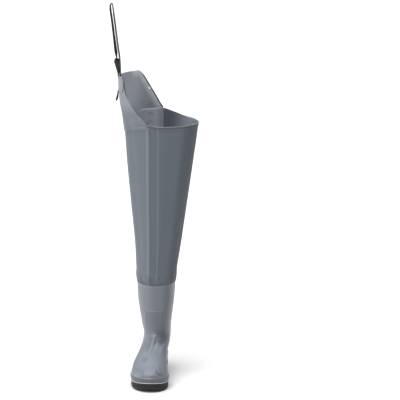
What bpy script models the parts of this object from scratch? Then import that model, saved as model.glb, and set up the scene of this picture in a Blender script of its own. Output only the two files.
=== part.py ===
# Hip wader for the right foot: a rubber boot, a coated-fabric leg, a raised hip flap and a belt strap.
# The toe points to -Y, the inner side of the foot is +X and +Z is up. The origin is the middle of the
# heel's flat face on the floor. Sizes here are in millimetres, and finish() turns them into metres.

import math

import bmesh
import bpy
import numpy as np
from mathutils import Matrix

MM = 0.001

# Driving sizes
FOOT_LENGTH = 300.0
HEEL_BACK = 42.0  # Y of the heel's back edge
HEEL_CAP = 38.0  # length of the round end at the heel
TOE_CAP = 70.0  # length of the round end at the toe
BOOT_TOP = 309.0
LEG_HEM = 285.0  # lower edge of the leg, over the boot
BOOT_WALL = 2.4
LEG_WALL = 1.2
FLAP_WALL = 1.1
GAP = 0.3  # between pieces that are glued or welded face to face
SEAT_GAP = 0.4  # under the upper, whose edge is a little coarser than the welt
LAP_GAP = 0.5  # between the leg and the flap that laps over it
WELT_HEIGHT = 2.2
INSOLE_HEIGHT = 3.5
AROUND = 44  # points round the boot and the leg, from the back past the inner side
FOXING_TOP = 43.0  # front height of the ridge round the foot
ANKLE_HEIGHT = 128.0  # front height above which the shaft no longer follows the sole's bow


def table(columns, *rows):
    """Rows of sizes, as one array for each named column."""
    return dict(zip(columns.split(), np.array(rows, float).T))


def through(x, xs, ys):
    """A smooth curve through the points (xs, ys) that never overshoots them."""
    steps = np.diff(xs)
    slopes = np.diff(ys) / steps
    product = slopes[:-1] * slopes[1:]
    total = np.where(product > 0, slopes[:-1] + slopes[1:], 1.0)
    bends = np.concatenate([slopes[:1], np.where(product > 0, 2 * product / total, 0.0), slopes[-1:]])
    x = np.clip(x, xs[0], xs[-1])
    i = np.clip(np.searchsorted(xs, x) - 1, 0, len(steps) - 1)
    t = (x - xs[i]) / steps[i]
    return (
        (1 + 2 * t) * (1 - t) ** 2 * ys[i]
        + t * (1 - t) ** 2 * steps[i] * bends[i]
        + t * t * (3 - 2 * t) * ys[i + 1]
        + t * t * (t - 1) * steps[i] * bends[i + 1]
    )


def ease(t):
    t = np.clip(t, 0.0, 1.0)
    return t * t * (3 - 2 * t)


# The sole from above. s runs from the heel's back to the toe, half is half the width without the
# round ends, and bow is how far the middle line lies to the inner side.
PLAN = table(
    "s half bow",
    (0, 36.0, 0.0),
    (38, 36.0, 0.0),
    (75, 35.2, -2.0),
    (110, 34.5, -6.0),
    (150, 37.6, -9.0),
    (185, 46.2, -9.0),
    (215, 54.0, -5.5),
    (230, 55.0, -4.0),
    (265, 55.0, -1.5),
    (300, 55.0, 0.0),
)
# The sole from the side: top is where the upper's edge sits, bottom is the tread.
PROFILE = table(
    "s top bottom",
    (0, 32.0, 3.0),
    (12, 31.5, 0.0),
    (80, 30.0, 0.0),
    (84, 29.8, 9.0),
    (120, 26.0, 10.0),
    (150, 23.2, 6.0),
    (170, 22.4, 0.0),
    (200, 22.2, 0.0),
    (245, 23.5, 0.0),
    (262, 25.0, 1.2),
    (280, 27.5, 4.5),
    (300, 31.5, 11.0),
)
# The side of the sole from the tread up: inset from the outline, at a share of the height.
SOLE_SIDE = table(
    "inset share",
    (4.0, 0.0),
    (1.2, 0.16),
    (0.0, 0.40),
    (1.3, 0.46),
    (1.3, 0.56),
    (0.0, 0.62),
    (0.0, 1.0),
)
HEEL_GROOVES = (17.0, 55.0, 70.0)
BALL_GROOVES = (178.0, 193.0, 208.0, 223.0, 238.0)
GROOVE_WIDTH = 5.0
GROOVE_DEPTH = 4.5
GROOVE_ANGLE = math.radians(15)

# The boot as a nest of rings, from the edge on the sole to the top. Each ring is named by the height of
# its front point. heel, waist and ball are half widths, heel_cap and toe_cap the lengths of its round
# ends, and shift is how far its middle lies to the inner side.
RINGS = table(
    "front_z front_y back_z back_y heel waist ball heel_cap toe_cap shift",
    (31.5, -257.6, 32, 41.0, 35.2, 34.0, 55.0, 38, 70, 0),
    (36, -259.0, 40, 42.5, 36.2, 34.4, 56.6, 38, 71, 0),
    (43, -259.5, 52, 45.0, 37.0, 34.8, 57.2, 39, 72, 0),
    (45.5, -257.0, 54.5, 43.8, 35.6, 33.4, 55.4, 39, 72, 0),
    (52, -253.0, 65, 45.0, 35.8, 32.8, 53.8, 40, 73, 0.5),
    (59, -245.5, 75, 44.5, 35.6, 32.6, 51.2, 42, 74, 1),
    (67, -231.0, 86, 42.5, 35.4, 33.0, 47.6, 45, 76, 2.5),
    (76, -206.0, 96, 39.0, 35.6, 34.0, 43.5, 49, 79, 5),
    (86, -177.0, 105, 35.0, 36.4, 35.5, 40.8, 53, 80, 7),
    (98, -148.0, 114, 31.0, 37.4, 37.2, 40.2, 57, 78, 8.3),
    (111, -124.0, 123, 28.0, 38.8, 38.8, 40.0, 60, 74, 8.3),
    (128, -107.5, 135, 26.0, 40.2, 40.2, 40.2, 61, 69, 7.6),
    (147, -101.5, 150, 25.5, 42.6, 42.6, 42.6, 62, 65, 5.8),
    (167, -101.0, 168, 26.5, 45.2, 45.2, 45.2, 63.7, 63.8, 5.0),
    (197, -103.5, 197, 28.0, 49.6, 49.6, 49.6, 65.7, 65.8, 4.5),
    (227, -107.0, 227, 28.5, 53.4, 53.4, 53.4, 67.7, 67.8, 4.4),
    (257, -110.0, 257, 28.5, 55.6, 55.6, 55.6, 69.2, 69.3, 4.7),
    (285, -112.0, 285, 28.0, 56.6, 56.6, 56.6, 70.0, 70.0, 5.0),
    (309, -113.0, 309, 27.5, 57.2, 57.2, 57.2, 70.2, 70.3, 5.2),
)
BOOT_LEVELS = (
    31.5, 35, 39, 43, 45.5, 49, 54, 59, 64, 70, 76, 82, 88, 94, 101, 109, 118,
    128, 138, 150, 170, 206, 208, 230, 257, 285, 297, 309,
)
# The raised panel on the shin
PANEL = {"top": 207.0, "bottom": 136.0, "half": 29.0, "raise": 1.0, "back_y": -70.0}

# The leg above the boot, and on up as the flap: half sizes and middle of an oval at each height
LEG = table(
    "z half_x half_y mid_x mid_y",
    (340, 62.0, 73.8, 6.5, -40.0),
    (402, 69.0, 77.0, 9.5, -36.0),
    (524, 83.8, 82.5, 11.8, -28.0),
    (645, 98.2, 86.5, 14.4, -20.5),
    (736, 108.0, 89.5, 17.0, -15.5),
    (767, 112.0, 90.2, 17.0, -14.0),
    (797, 116.3, 91.0, 17.0, -12.8),
    (821, 120.8, 91.6, 17.0, -12.0),
    (852, 123.7, 92.2, 17.0, -11.0),
    (910, 124.6, 93.0, 17.0, -9.0),
)
LEG_LEVELS = (340, 370, 402, 460, 524, 585, 645, 700)
# The sharp crease down the back of the leg: how far it stands out at each height
BACK_CREASE = table("z out", (340, 0.0), (524, 2.0), (700, 5.0), (783, 6.5), (910, 4.0))
CREASE_WIDTH = 32.0  # degrees to either side of the back
# The seam strip down the front of the leg, as columns of the ring, and its edges
STRIP = table("z inner outer", (285, 21.0, 23.7), (335, 21.05, 23.75), (760, 21.85, 23.95))
STRIP_RAISE = 0.8
STRIP_EDGE = 0.05
HEM_RAISE = 0.8
HEM_HEIGHT = 12.0
HEM_COLUMNS = (0.5, 24.0)  # the hem's raised band, along the rim that has no flap
HEM_STEP = 0.8  # height over which the hem's band rises from the leg
# Height of the leg's rim. Angles are in degrees from the front towards the outer side.
RIM = table(
    "angle z",
    (-180, 783), (-158, 771), (-141, 765), (-119, 762), (-90, 761), (-48, 763), (0, 763),
    (18, 767), (50, 757), (85, 748), (110, 757), (135, 775), (150, 783), (180, 783),
)
# The flap's upper edge
FLAP = table(
    "angle z",
    (18.5, 769), (25.5, 782), (32, 793), (39, 806), (46.5, 822), (57, 863), (61, 896), (65, 898),
    (139, 898), (144.5, 900), (150, 890), (155, 876), (168, 830), (179.6, 784),
)
FLAP_ROWS = 8
EYELET = {
    "angle": 160.5, "z": 843.0, "bore": 1.7, "barrel": 2.5, "flange": 4.3, "hole": 2.9,
    "clear": 0.55, "plate": 0.8,
}
PATCH = {"start": 59.0, "end": 104.0, "bottom": 856.0, "corner": 868.0, "top": 893.0, "thick": 2.4}

# The belt strap, seen from the front: x and z of the middle of its thickness, from its end sewn to the
# flap's inner face, over the top and down into the buckle.
WEBBING = {"wide": 25.0, "thick": 1.6, "middle_y": -11.0}
STRAP_ROUTE = (
    (-103.9, 876.0), (-103.6, 890.0), (-103.2, 904.0), (-104.6, 940.0), (-109.6, 980.0), (-114.8, 1021.0),
    (-120.0, 1063.0), (-124.9, 1101.0), (-126.2, 1107.5), (-129.0, 1110.6), (-132.2, 1108.8), (-132.6, 1104.0),
    (-127.8, 1063.0), (-122.7, 1021.0), (-117.8, 980.0), (-113.5, 947.0), (-112.2, 934.0),
)
TAIL_ROUTE = ((-109.9, 855.6), (-110.6, 846.0), (-112.4, 834.0), (-114.0, 826.0), (-112.6, 824.0))
# The buckle from the side: the outline of a cheek, and x, z and radius of each bar from the top lip down
BUCKLE = {
    "cheek": 3.0,
    "spare": 1.5,
    "wedge": (
        (-121.5, 944.0), (-119.0, 946.0), (-108.5, 944.5), (-107.0, 941.0), (-105.4, 903.0), (-106.4, 900.0),
        (-109.0, 900.5),
    ),
    "bars": ((-118.4, 943.0, 2.6), (-109.0, 929.0, 1.9), (-107.6, 903.2, 1.7)),
}
BAR_REACH = 2.0  # how far a bar goes into both cheeks together
TAB_ROUTE = ((-110.0, 893.5), (-110.0, 899.0), (-110.4, 903.2), (-109.4, 906.0), (-107.6, 907.0))


def finish(name, obj, colour, roughness, metallic=0.0):
    """Puts an object in the part's collection, with its own material."""
    obj.name = name
    obj.data.name = name
    material = bpy.data.materials.new(name + "_finish")
    material.use_nodes = True
    shader = material.node_tree.nodes["Principled BSDF"]
    shader.inputs["Base Color"].default_value = (*colour, 1.0)
    shader.inputs["Roughness"].default_value = roughness
    shader.inputs["Metallic"].default_value = metallic
    obj.data.materials.append(material)
    parts.objects.link(obj)
    return obj


def mesh_object(name, points, faces):
    mesh = bpy.data.meshes.new(name)
    mesh.from_pydata((np.asarray(points, float) * MM).tolist(), [], [list(map(int, f)) for f in faces])
    mesh.validate()
    return bpy.data.objects.new(name, mesh)


def round_profile(a, cap):
    """Width of a round end, from 0 at its tip (a = 0) to 1 where it is cap long."""
    return np.sqrt(np.clip(1 - (np.clip(cap - a, 0, None) / cap) ** 2, 0, 1))


def spread(side, count):
    """count points at equal steps along a line of close points."""
    steps = np.linalg.norm(np.diff(side, axis=0), axis=1)
    length = np.concatenate([[0], np.cumsum(steps)])
    at = np.linspace(0, length[-1], count)
    return np.stack([np.interp(at, length, side[:, k]) for k in range(3)], axis=1)


def bow_at(y):
    return through(HEEL_BACK - y, PLAN["s"], PLAN["bow"])


def top_at(y):
    return through(HEEL_BACK - y, PROFILE["s"], PROFILE["top"])


def sole_stations():
    """Distances from the heel's back, closer together round the ends and at each row of the tables."""
    heel = HEEL_CAP * (1 - np.cos(np.radians(np.arange(0, 91, 15))))
    toe = FOOT_LENGTH - TOE_CAP * (1 - np.cos(np.radians(np.linspace(0, 90, 9))))
    rows = np.concatenate([PLAN["s"], PROFILE["s"]])
    middle = rows[(rows > HEEL_CAP + 3) & (rows < FOOT_LENGTH - TOE_CAP - 3)]
    return np.unique(np.round(np.concatenate([heel, middle, toe]), 3))


def sole_outline(inset):
    """The sole's outline as a loop, back to front along the inner side and back along the outer side."""
    s = sole_stations()
    half = through(s, PLAN["s"], PLAN["half"]) * round_profile(s, HEEL_CAP)
    half = half * round_profile(FOOT_LENGTH - s, TOE_CAP)
    bow = through(s, PLAN["s"], PLAN["bow"])
    y = HEEL_BACK - s
    inner = np.stack([bow + half, y], axis=1)
    outer = np.stack([bow - half, y], axis=1)
    loop = np.concatenate([inner, outer[-2:0:-1]])
    along = np.roll(loop, -1, axis=0) - np.roll(loop, 1, axis=0)
    normal = np.stack([-along[:, 1], along[:, 0]], axis=1)
    normal /= np.linalg.norm(normal, axis=1, keepdims=True)
    return loop - inset * normal


def side_faces(rings, around, start=0):
    """Outward quads between stacked loops that run clockwise from above."""
    index = start + np.arange(rings * around).reshape(rings, around)
    after = np.roll(index, -1, axis=1)
    quads = np.stack([index[:-1], index[1:], after[1:], after[:-1]], axis=-1)
    return quads.reshape(-1, 4).tolist()


def cap_faces(loop, up):
    """Strips across a loop whose two sides face each other, from the back to the front."""
    n = len(loop)
    half = n // 2
    faces = [[loop[0], loop[1], loop[n - 1]]]
    faces += [[loop[i], loop[i + 1], loop[n - i - 1], loop[n - i]] for i in range(1, half - 1)]
    faces.append([loop[half - 1], loop[half], loop[half + 1]])
    return [f[::-1] for f in faces] if up else faces


def slab(name, loops):
    """A closed solid from stacked loops, with strips across its top and bottom."""
    around = len(loops[0])
    faces = side_faces(len(loops), around)
    faces += cap_faces(list(range(around)), False)
    first = (len(loops) - 1) * around
    faces += cap_faces(list(range(first, first + around)), True)
    return mesh_object(name, np.concatenate(loops), faces)


def wall(name, outer, inner):
    """A closed wall between two stacks of rings, open at the top and at the bottom."""
    rings, around, _ = outer.shape
    count = rings * around
    faces = side_faces(rings, around)
    faces += [f[::-1] for f in side_faces(rings, around, count)]
    index = np.arange(around)
    after = np.roll(index, -1)
    top = (rings - 1) * around
    faces += np.stack([top + index, count + top + index, count + top + after, top + after], 1).tolist()
    faces += np.stack([index, after, count + after, count + index], 1).tolist()
    return mesh_object(name, np.concatenate([outer.reshape(-1, 3), inner.reshape(-1, 3)]), faces)


def sheet(name, grid, thickness, offset):
    """An open sheet from a grid of points, rows upwards, with its thickness as a modifier."""
    rows, columns, _ = grid.shape
    index = np.arange(rows * columns).reshape(rows, columns)
    quads = np.stack([index[:-1, :-1], index[1:, :-1], index[1:, 1:], index[:-1, 1:]], axis=-1)
    obj = mesh_object(name, grid.reshape(-1, 3), quads.reshape(-1, 4))
    solid = obj.modifiers.new("thickness", "SOLIDIFY")
    solid.thickness = thickness * MM
    solid.offset = offset
    solid.use_even_offset = True
    return obj


def cut(obj, cutter, name):
    cutter.hide_render = True
    cutter.display_type = "WIRE"
    cutters.objects.link(cutter)
    boolean = obj.modifiers.new(name, "BOOLEAN")
    boolean.operation = "DIFFERENCE"
    boolean.solver = "EXACT"
    boolean.object = cutter


# Outsole
def groove_cutter(side):
    """One box for each groove on one side of the middle line, turned into half of a chevron."""
    mesh = bmesh.new()
    reach = 85.0
    for s in HEEL_GROOVES + BALL_GROOVES:
        middle = bow_at(HEEL_BACK - s)
        turn = Matrix.Rotation(side * GROOVE_ANGLE, 4, "Z")
        size = Matrix.Diagonal((reach, GROOVE_WIDTH, 2 * GROOVE_DEPTH, 1.0))
        place = Matrix.Translation((middle - side * 1.5, HEEL_BACK - s, 0.0))
        shape = place @ turn @ Matrix.Translation((side * reach / 2, 0, 0)) @ size
        bmesh.ops.create_cube(mesh, matrix=Matrix.Scale(MM, 4) @ shape)
    data = bpy.data.meshes.new("grooves")
    mesh.to_mesh(data)
    mesh.free()
    return bpy.data.objects.new("grooves_inner" if side > 0 else "grooves_outer", data)


def make_outsole():
    loops = []
    for inset, share in zip(SOLE_SIDE["inset"], SOLE_SIDE["share"]):
        loop = sole_outline(inset)
        s = HEEL_BACK - loop[:, 1]
        bottom = np.interp(s, PROFILE["s"], PROFILE["bottom"])
        top = top_at(loop[:, 1]) - SEAT_GAP - WELT_HEIGHT - GAP
        loops.append(np.column_stack([loop, bottom + share * (top - bottom)]))
    obj = slab("outsole", loops)
    for side in (1, -1):
        cut(obj, groove_cutter(side), "grooves")
    return finish("outsole", obj, (0.012, 0.012, 0.013), 0.55)


# Welt and insole
def make_welt():
    outer = sole_outline(-0.6)
    inner = sole_outline(3.6)
    stacks = []
    for loop in (outer, inner):
        high = top_at(loop[:, 1]) - SEAT_GAP
        stacks.append([np.column_stack([loop, high - WELT_HEIGHT]), np.column_stack([loop, high])])
    return finish("welt", wall("welt", np.array(stacks[0]), np.array(stacks[1])), (0.55, 0.56, 0.57), 0.5)


def make_insole():
    loop = sole_outline(6.5)
    low = top_at(loop[:, 1]) - SEAT_GAP - WELT_HEIGHT
    loops = [np.column_stack([loop, low]), np.column_stack([loop, low + INSOLE_HEIGHT])]
    return finish("insole", slab("insole", loops), (0.10, 0.10, 0.11), 0.9)


# Boot upper
def boot_ring(level):
    """One ring of the boot, at equal steps from the back along the inner side to the front and round."""
    row = {name: float(through(np.array(float(level)), RINGS["front_z"], RINGS[name])) for name in RINGS}
    a = (1 - np.cos(np.linspace(0, math.pi, 241))) / 2
    length = row["back_y"] - row["front_y"]
    y = row["back_y"] - a * length
    ahead = a * length
    behind = (1 - a) * length
    heel_end = min(row["heel_cap"], length / 2)
    toe_end = length - min(row["toe_cap"], length - heel_end)
    middle = (heel_end + toe_end) / 2
    back_part = ease((ahead - heel_end) / max(middle - heel_end, 1e-6))
    front_part = ease((ahead - middle) / max(toe_end - middle, 1e-6))
    half = row["heel"] + (row["waist"] - row["heel"]) * back_part + (row["ball"] - row["waist"]) * front_part
    half = half * round_profile(ahead, heel_end) * round_profile(behind, length - toe_end)
    # Low rings follow the sole's bow and its top edge, and high rings are straight and flat.
    follow = 1 - ease((row["front_z"] - FOXING_TOP) / (ANKLE_HEIGHT - FOXING_TOP))
    ends = top_at(np.array([row["back_y"], row["front_y"]]))
    sag = top_at(y) - (ends[0] + a * (ends[1] - ends[0]))
    z = row["back_z"] + a * (row["front_z"] - row["back_z"]) + follow * sag
    x = row["shift"] + follow * bow_at(y)
    inner = spread(np.stack([x + half, y, z], axis=1), AROUND // 2 + 1)
    outer = spread(np.stack([x - half, y, z], axis=1), AROUND // 2 + 1)
    return np.concatenate([inner, outer[-2:0:-1]])


def ring_normals(rings):
    """Unit directions out of a stack of rings."""
    along = np.roll(rings, -1, axis=1) - np.roll(rings, 1, axis=1)
    upward = np.gradient(rings, axis=0)
    normal = np.cross(upward, along)
    return normal / np.linalg.norm(normal, axis=2, keepdims=True)


def make_boot():
    levels = np.array(BOOT_LEVELS, float)
    rings = np.array([boot_ring(level) for level in levels])
    normals = ring_normals(rings)
    normals[0, :, 2] = 0
    normals[-1, :, 2] = 0
    high = (levels > PANEL["bottom"]) & (levels < PANEL["top"])
    shift = through(levels, RINGS["front_z"], RINGS["shift"])
    near = (np.abs(rings[:, :, 0] - shift[:, None]) < PANEL["half"]) & (rings[:, :, 1] < PANEL["back_y"])
    raised = PANEL["raise"] * (high[:, None] & near)
    outer = rings + raised[:, :, None] * normals
    inner = rings - BOOT_WALL * normals
    inner[0, :, 2] = rings[0, :, 2]
    return finish("boot_upper", wall("boot_upper", outer, inner), (0.20, 0.225, 0.245), 0.45)


# Leg
def oval(z):
    """The leg's ring at a height, at equal steps from the back along the inner side."""
    at = {name: float(through(np.array(float(z)), LEG["z"], LEG[name])) for name in LEG}
    turn = np.linspace(0, math.pi, 241)
    from_back = np.degrees(turn)
    out = through(np.array(float(z)), BACK_CREASE["z"], BACK_CREASE["out"])
    out = out * np.clip(1 - from_back / CREASE_WIDTH, 0, 1) ** 1.5
    x = (at["half_x"] + out) * np.sin(turn)
    y = at["mid_y"] + (at["half_y"] + out) * np.cos(turn)
    height = np.full_like(x, z)
    inner = spread(np.stack([at["mid_x"] + x, y, height], axis=1), AROUND // 2 + 1)
    outer = spread(np.stack([at["mid_x"] - x, y, height], axis=1), AROUND // 2 + 1)
    return np.concatenate([inner, outer[-2:0:-1]])


class LegSurface:
    """The outside of the leg, read by column round it and by height, also above its rim."""

    def __init__(self):
        low = [boot_ring(z) for z in (LEG_HEM, (LEG_HEM + BOOT_TOP) / 2, BOOT_TOP)]
        high = [oval(z) for z in np.arange(340.0, 911.0, 10.0)]
        rings = np.array(low + high)
        normals = ring_normals(rings)
        normals[:, :, 2] = 0
        normals /= np.linalg.norm(normals, axis=2, keepdims=True)
        rings[:3] += normals[:3] * (GAP + LEG_WALL)
        self.heights = rings[:, 0, 2]
        self.rings = rings
        self.normals = normals

    def read(self, field, column, z):
        column = np.mod(column, AROUND)
        i = np.floor(column).astype(int) % AROUND
        t = (column - np.floor(column))[..., None]
        k = np.clip(np.searchsorted(self.heights, z) - 1, 0, len(self.heights) - 2)
        f = ((z - self.heights[k]) / (self.heights[k + 1] - self.heights[k]))[..., None]
        after = (i + 1) % AROUND
        low = field[k, i] * (1 - t) + field[k, after] * t
        high = field[k + 1, i] * (1 - t) + field[k + 1, after] * t
        return low * (1 - f) + high * f

    def at(self, column, z, out=0.0):
        column, z = np.broadcast_arrays(np.asarray(column, float), np.asarray(z, float))
        points = self.read(self.rings, column, z)
        points[..., 2] = z
        return points + self.read(self.normals, column, z) * np.asarray(out)[..., None]

    def angles(self, z):
        """The angle of each column, from the front towards the outer side, at one height."""
        ring = self.at(np.arange(AROUND + 1), np.full(AROUND + 1, float(z)))
        mid = [float(through(np.array(float(z)), LEG["z"], LEG[name])) for name in ("mid_x", "mid_y")]
        half = [float(through(np.array(float(z)), LEG["z"], LEG[name])) for name in ("half_x", "half_y")]
        angle = np.degrees(np.arctan2((mid[0] - ring[:, 0]) / half[0], (mid[1] - ring[:, 1]) / half[1]))
        angle[0] = -180.0
        angle[-1] = 180.0
        return angle

    def column_of(self, angle, z=800.0):
        return np.interp(angle, self.angles(z), np.arange(AROUND + 1))


def leg_columns(z):
    """Columns of the leg at one height: each ring point, and two at either edge of the front strip."""
    inner = np.interp(z, STRIP["z"], STRIP["inner"])
    outer = np.interp(z, STRIP["z"], STRIP["outer"])
    edges = [inner - STRIP_EDGE, inner + STRIP_EDGE, outer - STRIP_EDGE, outer + STRIP_EDGE]
    return np.sort(np.concatenate([np.arange(AROUND), edges]))


def make_leg(surface):
    count = AROUND + 4
    whole = leg_columns(760.0)
    rim = through(np.interp(whole, np.arange(AROUND + 1), surface.angles(760.0)), RIM["angle"], RIM["z"])
    low = [np.full(count, z) for z in (LEG_HEM, (LEG_HEM + BOOT_TOP) / 2, BOOT_TOP)]
    middle = [np.full(count, float(z)) for z in LEG_LEVELS]
    top = [rim - 2 * HEM_HEIGHT, rim - HEM_HEIGHT - HEM_STEP, rim - HEM_HEIGHT, rim]
    heights = np.array(low + middle + top)
    columns = np.array([leg_columns(row[0]) for row in heights])
    columns[-4:] = whole
    inner_edge = np.interp(heights, STRIP["z"], STRIP["inner"])
    outer_edge = np.interp(heights, STRIP["z"], STRIP["outer"])
    raised = STRIP_RAISE * ((columns > inner_edge) & (columns < outer_edge))
    in_hem = np.zeros_like(heights)
    in_hem[-2:] = 1
    open_side = (columns > HEM_COLUMNS[0]) & (columns < HEM_COLUMNS[1])
    raised = np.maximum(raised, HEM_RAISE * in_hem * open_side)
    outer = surface.at(columns, heights, raised)
    inner = surface.at(columns, heights, -LEG_WALL)
    return finish("leg", wall("leg", outer, inner), (0.10, 0.115, 0.13), 0.5)


# Flap, with its patch and eyelet
def make_flap(surface):
    start = float(surface.column_of(FLAP["angle"][0]))
    end = float(surface.column_of(FLAP["angle"][-1]))
    corners = surface.column_of(np.array([46.5, 57.0, 61.0, 144.5, 150.0, 155.0]))
    columns = np.unique(np.concatenate([[start, end], corners, np.arange(math.ceil(start + 0.2), AROUND)]))
    angle = np.interp(columns, np.arange(AROUND + 1), surface.angles(800.0))
    rim = through(np.interp(columns, np.arange(AROUND + 1), surface.angles(760.0)), RIM["angle"], RIM["z"])
    top = np.interp(angle, FLAP["angle"], FLAP["z"])
    share = np.linspace(0, 1, FLAP_ROWS)[:, None]
    low = rim - HEM_HEIGHT
    heights = low + share * (top - low)
    heights[1] = np.where(top - low > 60, rim, heights[1])
    grid = surface.at(np.broadcast_to(columns, heights.shape), heights, LAP_GAP + FLAP_WALL / 2)
    obj = sheet("hip_flap", grid, FLAP_WALL, 0.0)
    cut(obj, eyelet_hole(surface), "eyelet_hole")
    return finish("hip_flap", obj, (0.10, 0.115, 0.13), 0.5)


def eyelet_frame(surface):
    """Where the eyelet sits in the flap's wall, with its axis out of the wall."""
    column = surface.column_of(np.array(EYELET["angle"]))
    middle = surface.at(column, EYELET["z"], LAP_GAP + FLAP_WALL / 2)
    side = surface.at(column + 0.2, EYELET["z"]) - surface.at(column - 0.2, EYELET["z"])
    side /= np.linalg.norm(side)
    upward = surface.at(column, EYELET["z"] + 5) - surface.at(column, EYELET["z"] - 5)
    out = np.cross(upward, side)
    out /= np.linalg.norm(out)
    upward = np.cross(side, out)
    turn = Matrix((upward, side, out)).transposed().to_4x4()
    return Matrix.Translation(middle) @ turn


def eyelet_hole(surface):
    mesh = bmesh.new()
    place = Matrix.Scale(MM, 4) @ eyelet_frame(surface)
    hole = EYELET["hole"]
    bmesh.ops.create_cone(
        mesh, cap_ends=True, segments=16, radius1=hole, radius2=hole, depth=10.0, matrix=place
    )
    data = bpy.data.meshes.new("eyelet_hole")
    mesh.to_mesh(data)
    mesh.free()
    return bpy.data.objects.new("eyelet_hole", data)


def make_eyelet(surface):
    """A barrel through the hole with a flange on each face: a profile turned round its axis."""
    bore, barrel, flange = (EYELET[name] for name in ("bore", "barrel", "flange"))
    face = FLAP_WALL / 2 + EYELET["clear"]
    rim = face + EYELET["plate"]
    profile = ((bore, rim), (flange, rim), (flange, face), (barrel, face),
               (barrel, -face), (flange, -face), (flange, -rim), (bore, -rim))
    count = 16
    turn = np.arange(count) * 2 * math.pi / count
    rings = [np.column_stack([r * np.cos(turn), r * np.sin(turn), np.full(count, z)]) for r, z in profile]
    points = np.concatenate(rings)
    place = eyelet_frame(surface)
    points = points @ np.array(place.to_3x3()).T + np.array(place.translation)
    index = np.arange(len(profile) * count).reshape(len(profile), count)
    below = np.roll(index, -1, axis=0)
    quads = np.stack([index, below, np.roll(below, -1, axis=1), np.roll(index, -1, axis=1)], axis=-1)
    return finish("eyelet", mesh_object("eyelet", points, quads.reshape(-1, 4)), (0.75, 0.76, 0.78), 0.3, 1.0)


def make_patch(surface):
    start = float(surface.column_of(PATCH["start"]))
    end = float(surface.column_of(PATCH["end"]))
    columns = np.unique(np.concatenate([[start, end], np.arange(math.ceil(start + 0.2), end - 0.2)]))
    heights = np.linspace(PATCH["bottom"], PATCH["top"], 4)[:, None] + 0 * columns
    front = columns == columns[0]
    heights[0, front] = PATCH["corner"]
    out = LAP_GAP + FLAP_WALL + GAP + PATCH["thick"] / 2
    grid = surface.at(np.broadcast_to(columns, heights.shape), heights, out)
    return finish("strap_patch", sheet("strap_patch", grid, PATCH["thick"], 0.0), (0.45, 0.47, 0.49), 0.6)


# Belt strap and buckle
def ribbon(name, route, middle_y):
    """Flat webbing along a route of x and z, as wide as the webbing along Y."""
    route = np.array(route)
    y = middle_y + np.array([0.5, -0.5]) * WEBBING["wide"]
    grid = np.array([[(x, side, z) for side in y] for x, z in route])
    return sheet(name, grid, WEBBING["thick"], 0.0)


def make_strap():
    obj = ribbon("strap_loop", STRAP_ROUTE, WEBBING["middle_y"])
    return finish("strap_loop", obj, (0.015, 0.015, 0.017), 0.8)


def make_tail():
    obj = ribbon("strap_tail", TAIL_ROUTE, WEBBING["middle_y"])
    return finish("strap_tail", obj, (0.015, 0.015, 0.017), 0.8)


def make_buckle():
    """Two wedge-shaped cheeks with bars between them, and a lip at the top."""
    width = WEBBING["wide"] + BUCKLE["spare"]
    wedge = BUCKLE["wedge"]
    mesh = bmesh.new()
    for side in (-1, 1):
        inside = WEBBING["middle_y"] + side * width / 2
        outside = inside + side * BUCKLE["cheek"]
        near = [mesh.verts.new((x * MM, inside * MM, z * MM)) for x, z in wedge]
        far = [mesh.verts.new((x * MM, outside * MM, z * MM)) for x, z in wedge]
        mesh.faces.new(near)
        mesh.faces.new(far)
        for i in range(len(wedge)):
            k = (i + 1) % len(wedge)
            mesh.faces.new((near[i], near[k], far[k], far[i]))
    bmesh.ops.recalc_face_normals(mesh, faces=mesh.faces)
    data = bpy.data.meshes.new("buckle")
    mesh.to_mesh(data)
    mesh.free()
    obj = bpy.data.objects.new("buckle", data)
    for number, (x, z, radius) in enumerate(BUCKLE["bars"]):
        mesh = bmesh.new()
        lie = Matrix.Translation((x, WEBBING["middle_y"], z)) @ Matrix.Rotation(math.pi / 2, 4, "X")
        bmesh.ops.create_cone(
            mesh, cap_ends=True, segments=12, radius1=radius, radius2=radius, depth=width + BAR_REACH,
            matrix=Matrix.Scale(MM, 4) @ lie,
        )
        data = bpy.data.meshes.new("bar")
        mesh.to_mesh(data)
        mesh.free()
        bar = bpy.data.objects.new(f"buckle_bar_{number}", data)
        bar.hide_render = True
        bar.display_type = "WIRE"
        cutters.objects.link(bar)
        join = obj.modifiers.new(f"bar_{number}", "BOOLEAN")
        join.operation = "UNION"
        join.solver = "EXACT"
        join.object = bar
    return finish("buckle", obj, (0.012, 0.012, 0.013), 0.35)


def make_tab():
    """The tab from the patch up to the buckle's lower bar."""
    obj = ribbon("strap_tab", TAB_ROUTE, WEBBING["middle_y"])
    return finish("strap_tab", obj, (0.015, 0.015, 0.017), 0.8)


for old in list(bpy.data.objects):
    bpy.data.objects.remove(old, do_unlink=True)
parts = bpy.data.collections.new("hip_wader")
cutters = bpy.data.collections.new("cutters")
bpy.context.scene.collection.children.link(parts)
bpy.context.scene.collection.children.link(cutters)

leg_surface = LegSurface()
make_outsole()
make_welt()
make_insole()
make_boot()
make_leg(leg_surface)
make_flap(leg_surface)
make_patch(leg_surface)
make_eyelet(leg_surface)
make_strap()
make_tail()
make_buckle()
make_tab()
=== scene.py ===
# Hip wader for the right foot: a rubber boot, a coated-fabric leg, a raised hip flap and a belt strap.
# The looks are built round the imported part, in its frame: the toe points to -Y, the inner side is +X and
# the floor is Z = 0. Shapes are worked out in millimetres, and putMesh turns them into metres.

import math

import bmesh
import bpy
import numpy as np
from mathutils import Matrix, Vector


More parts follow.
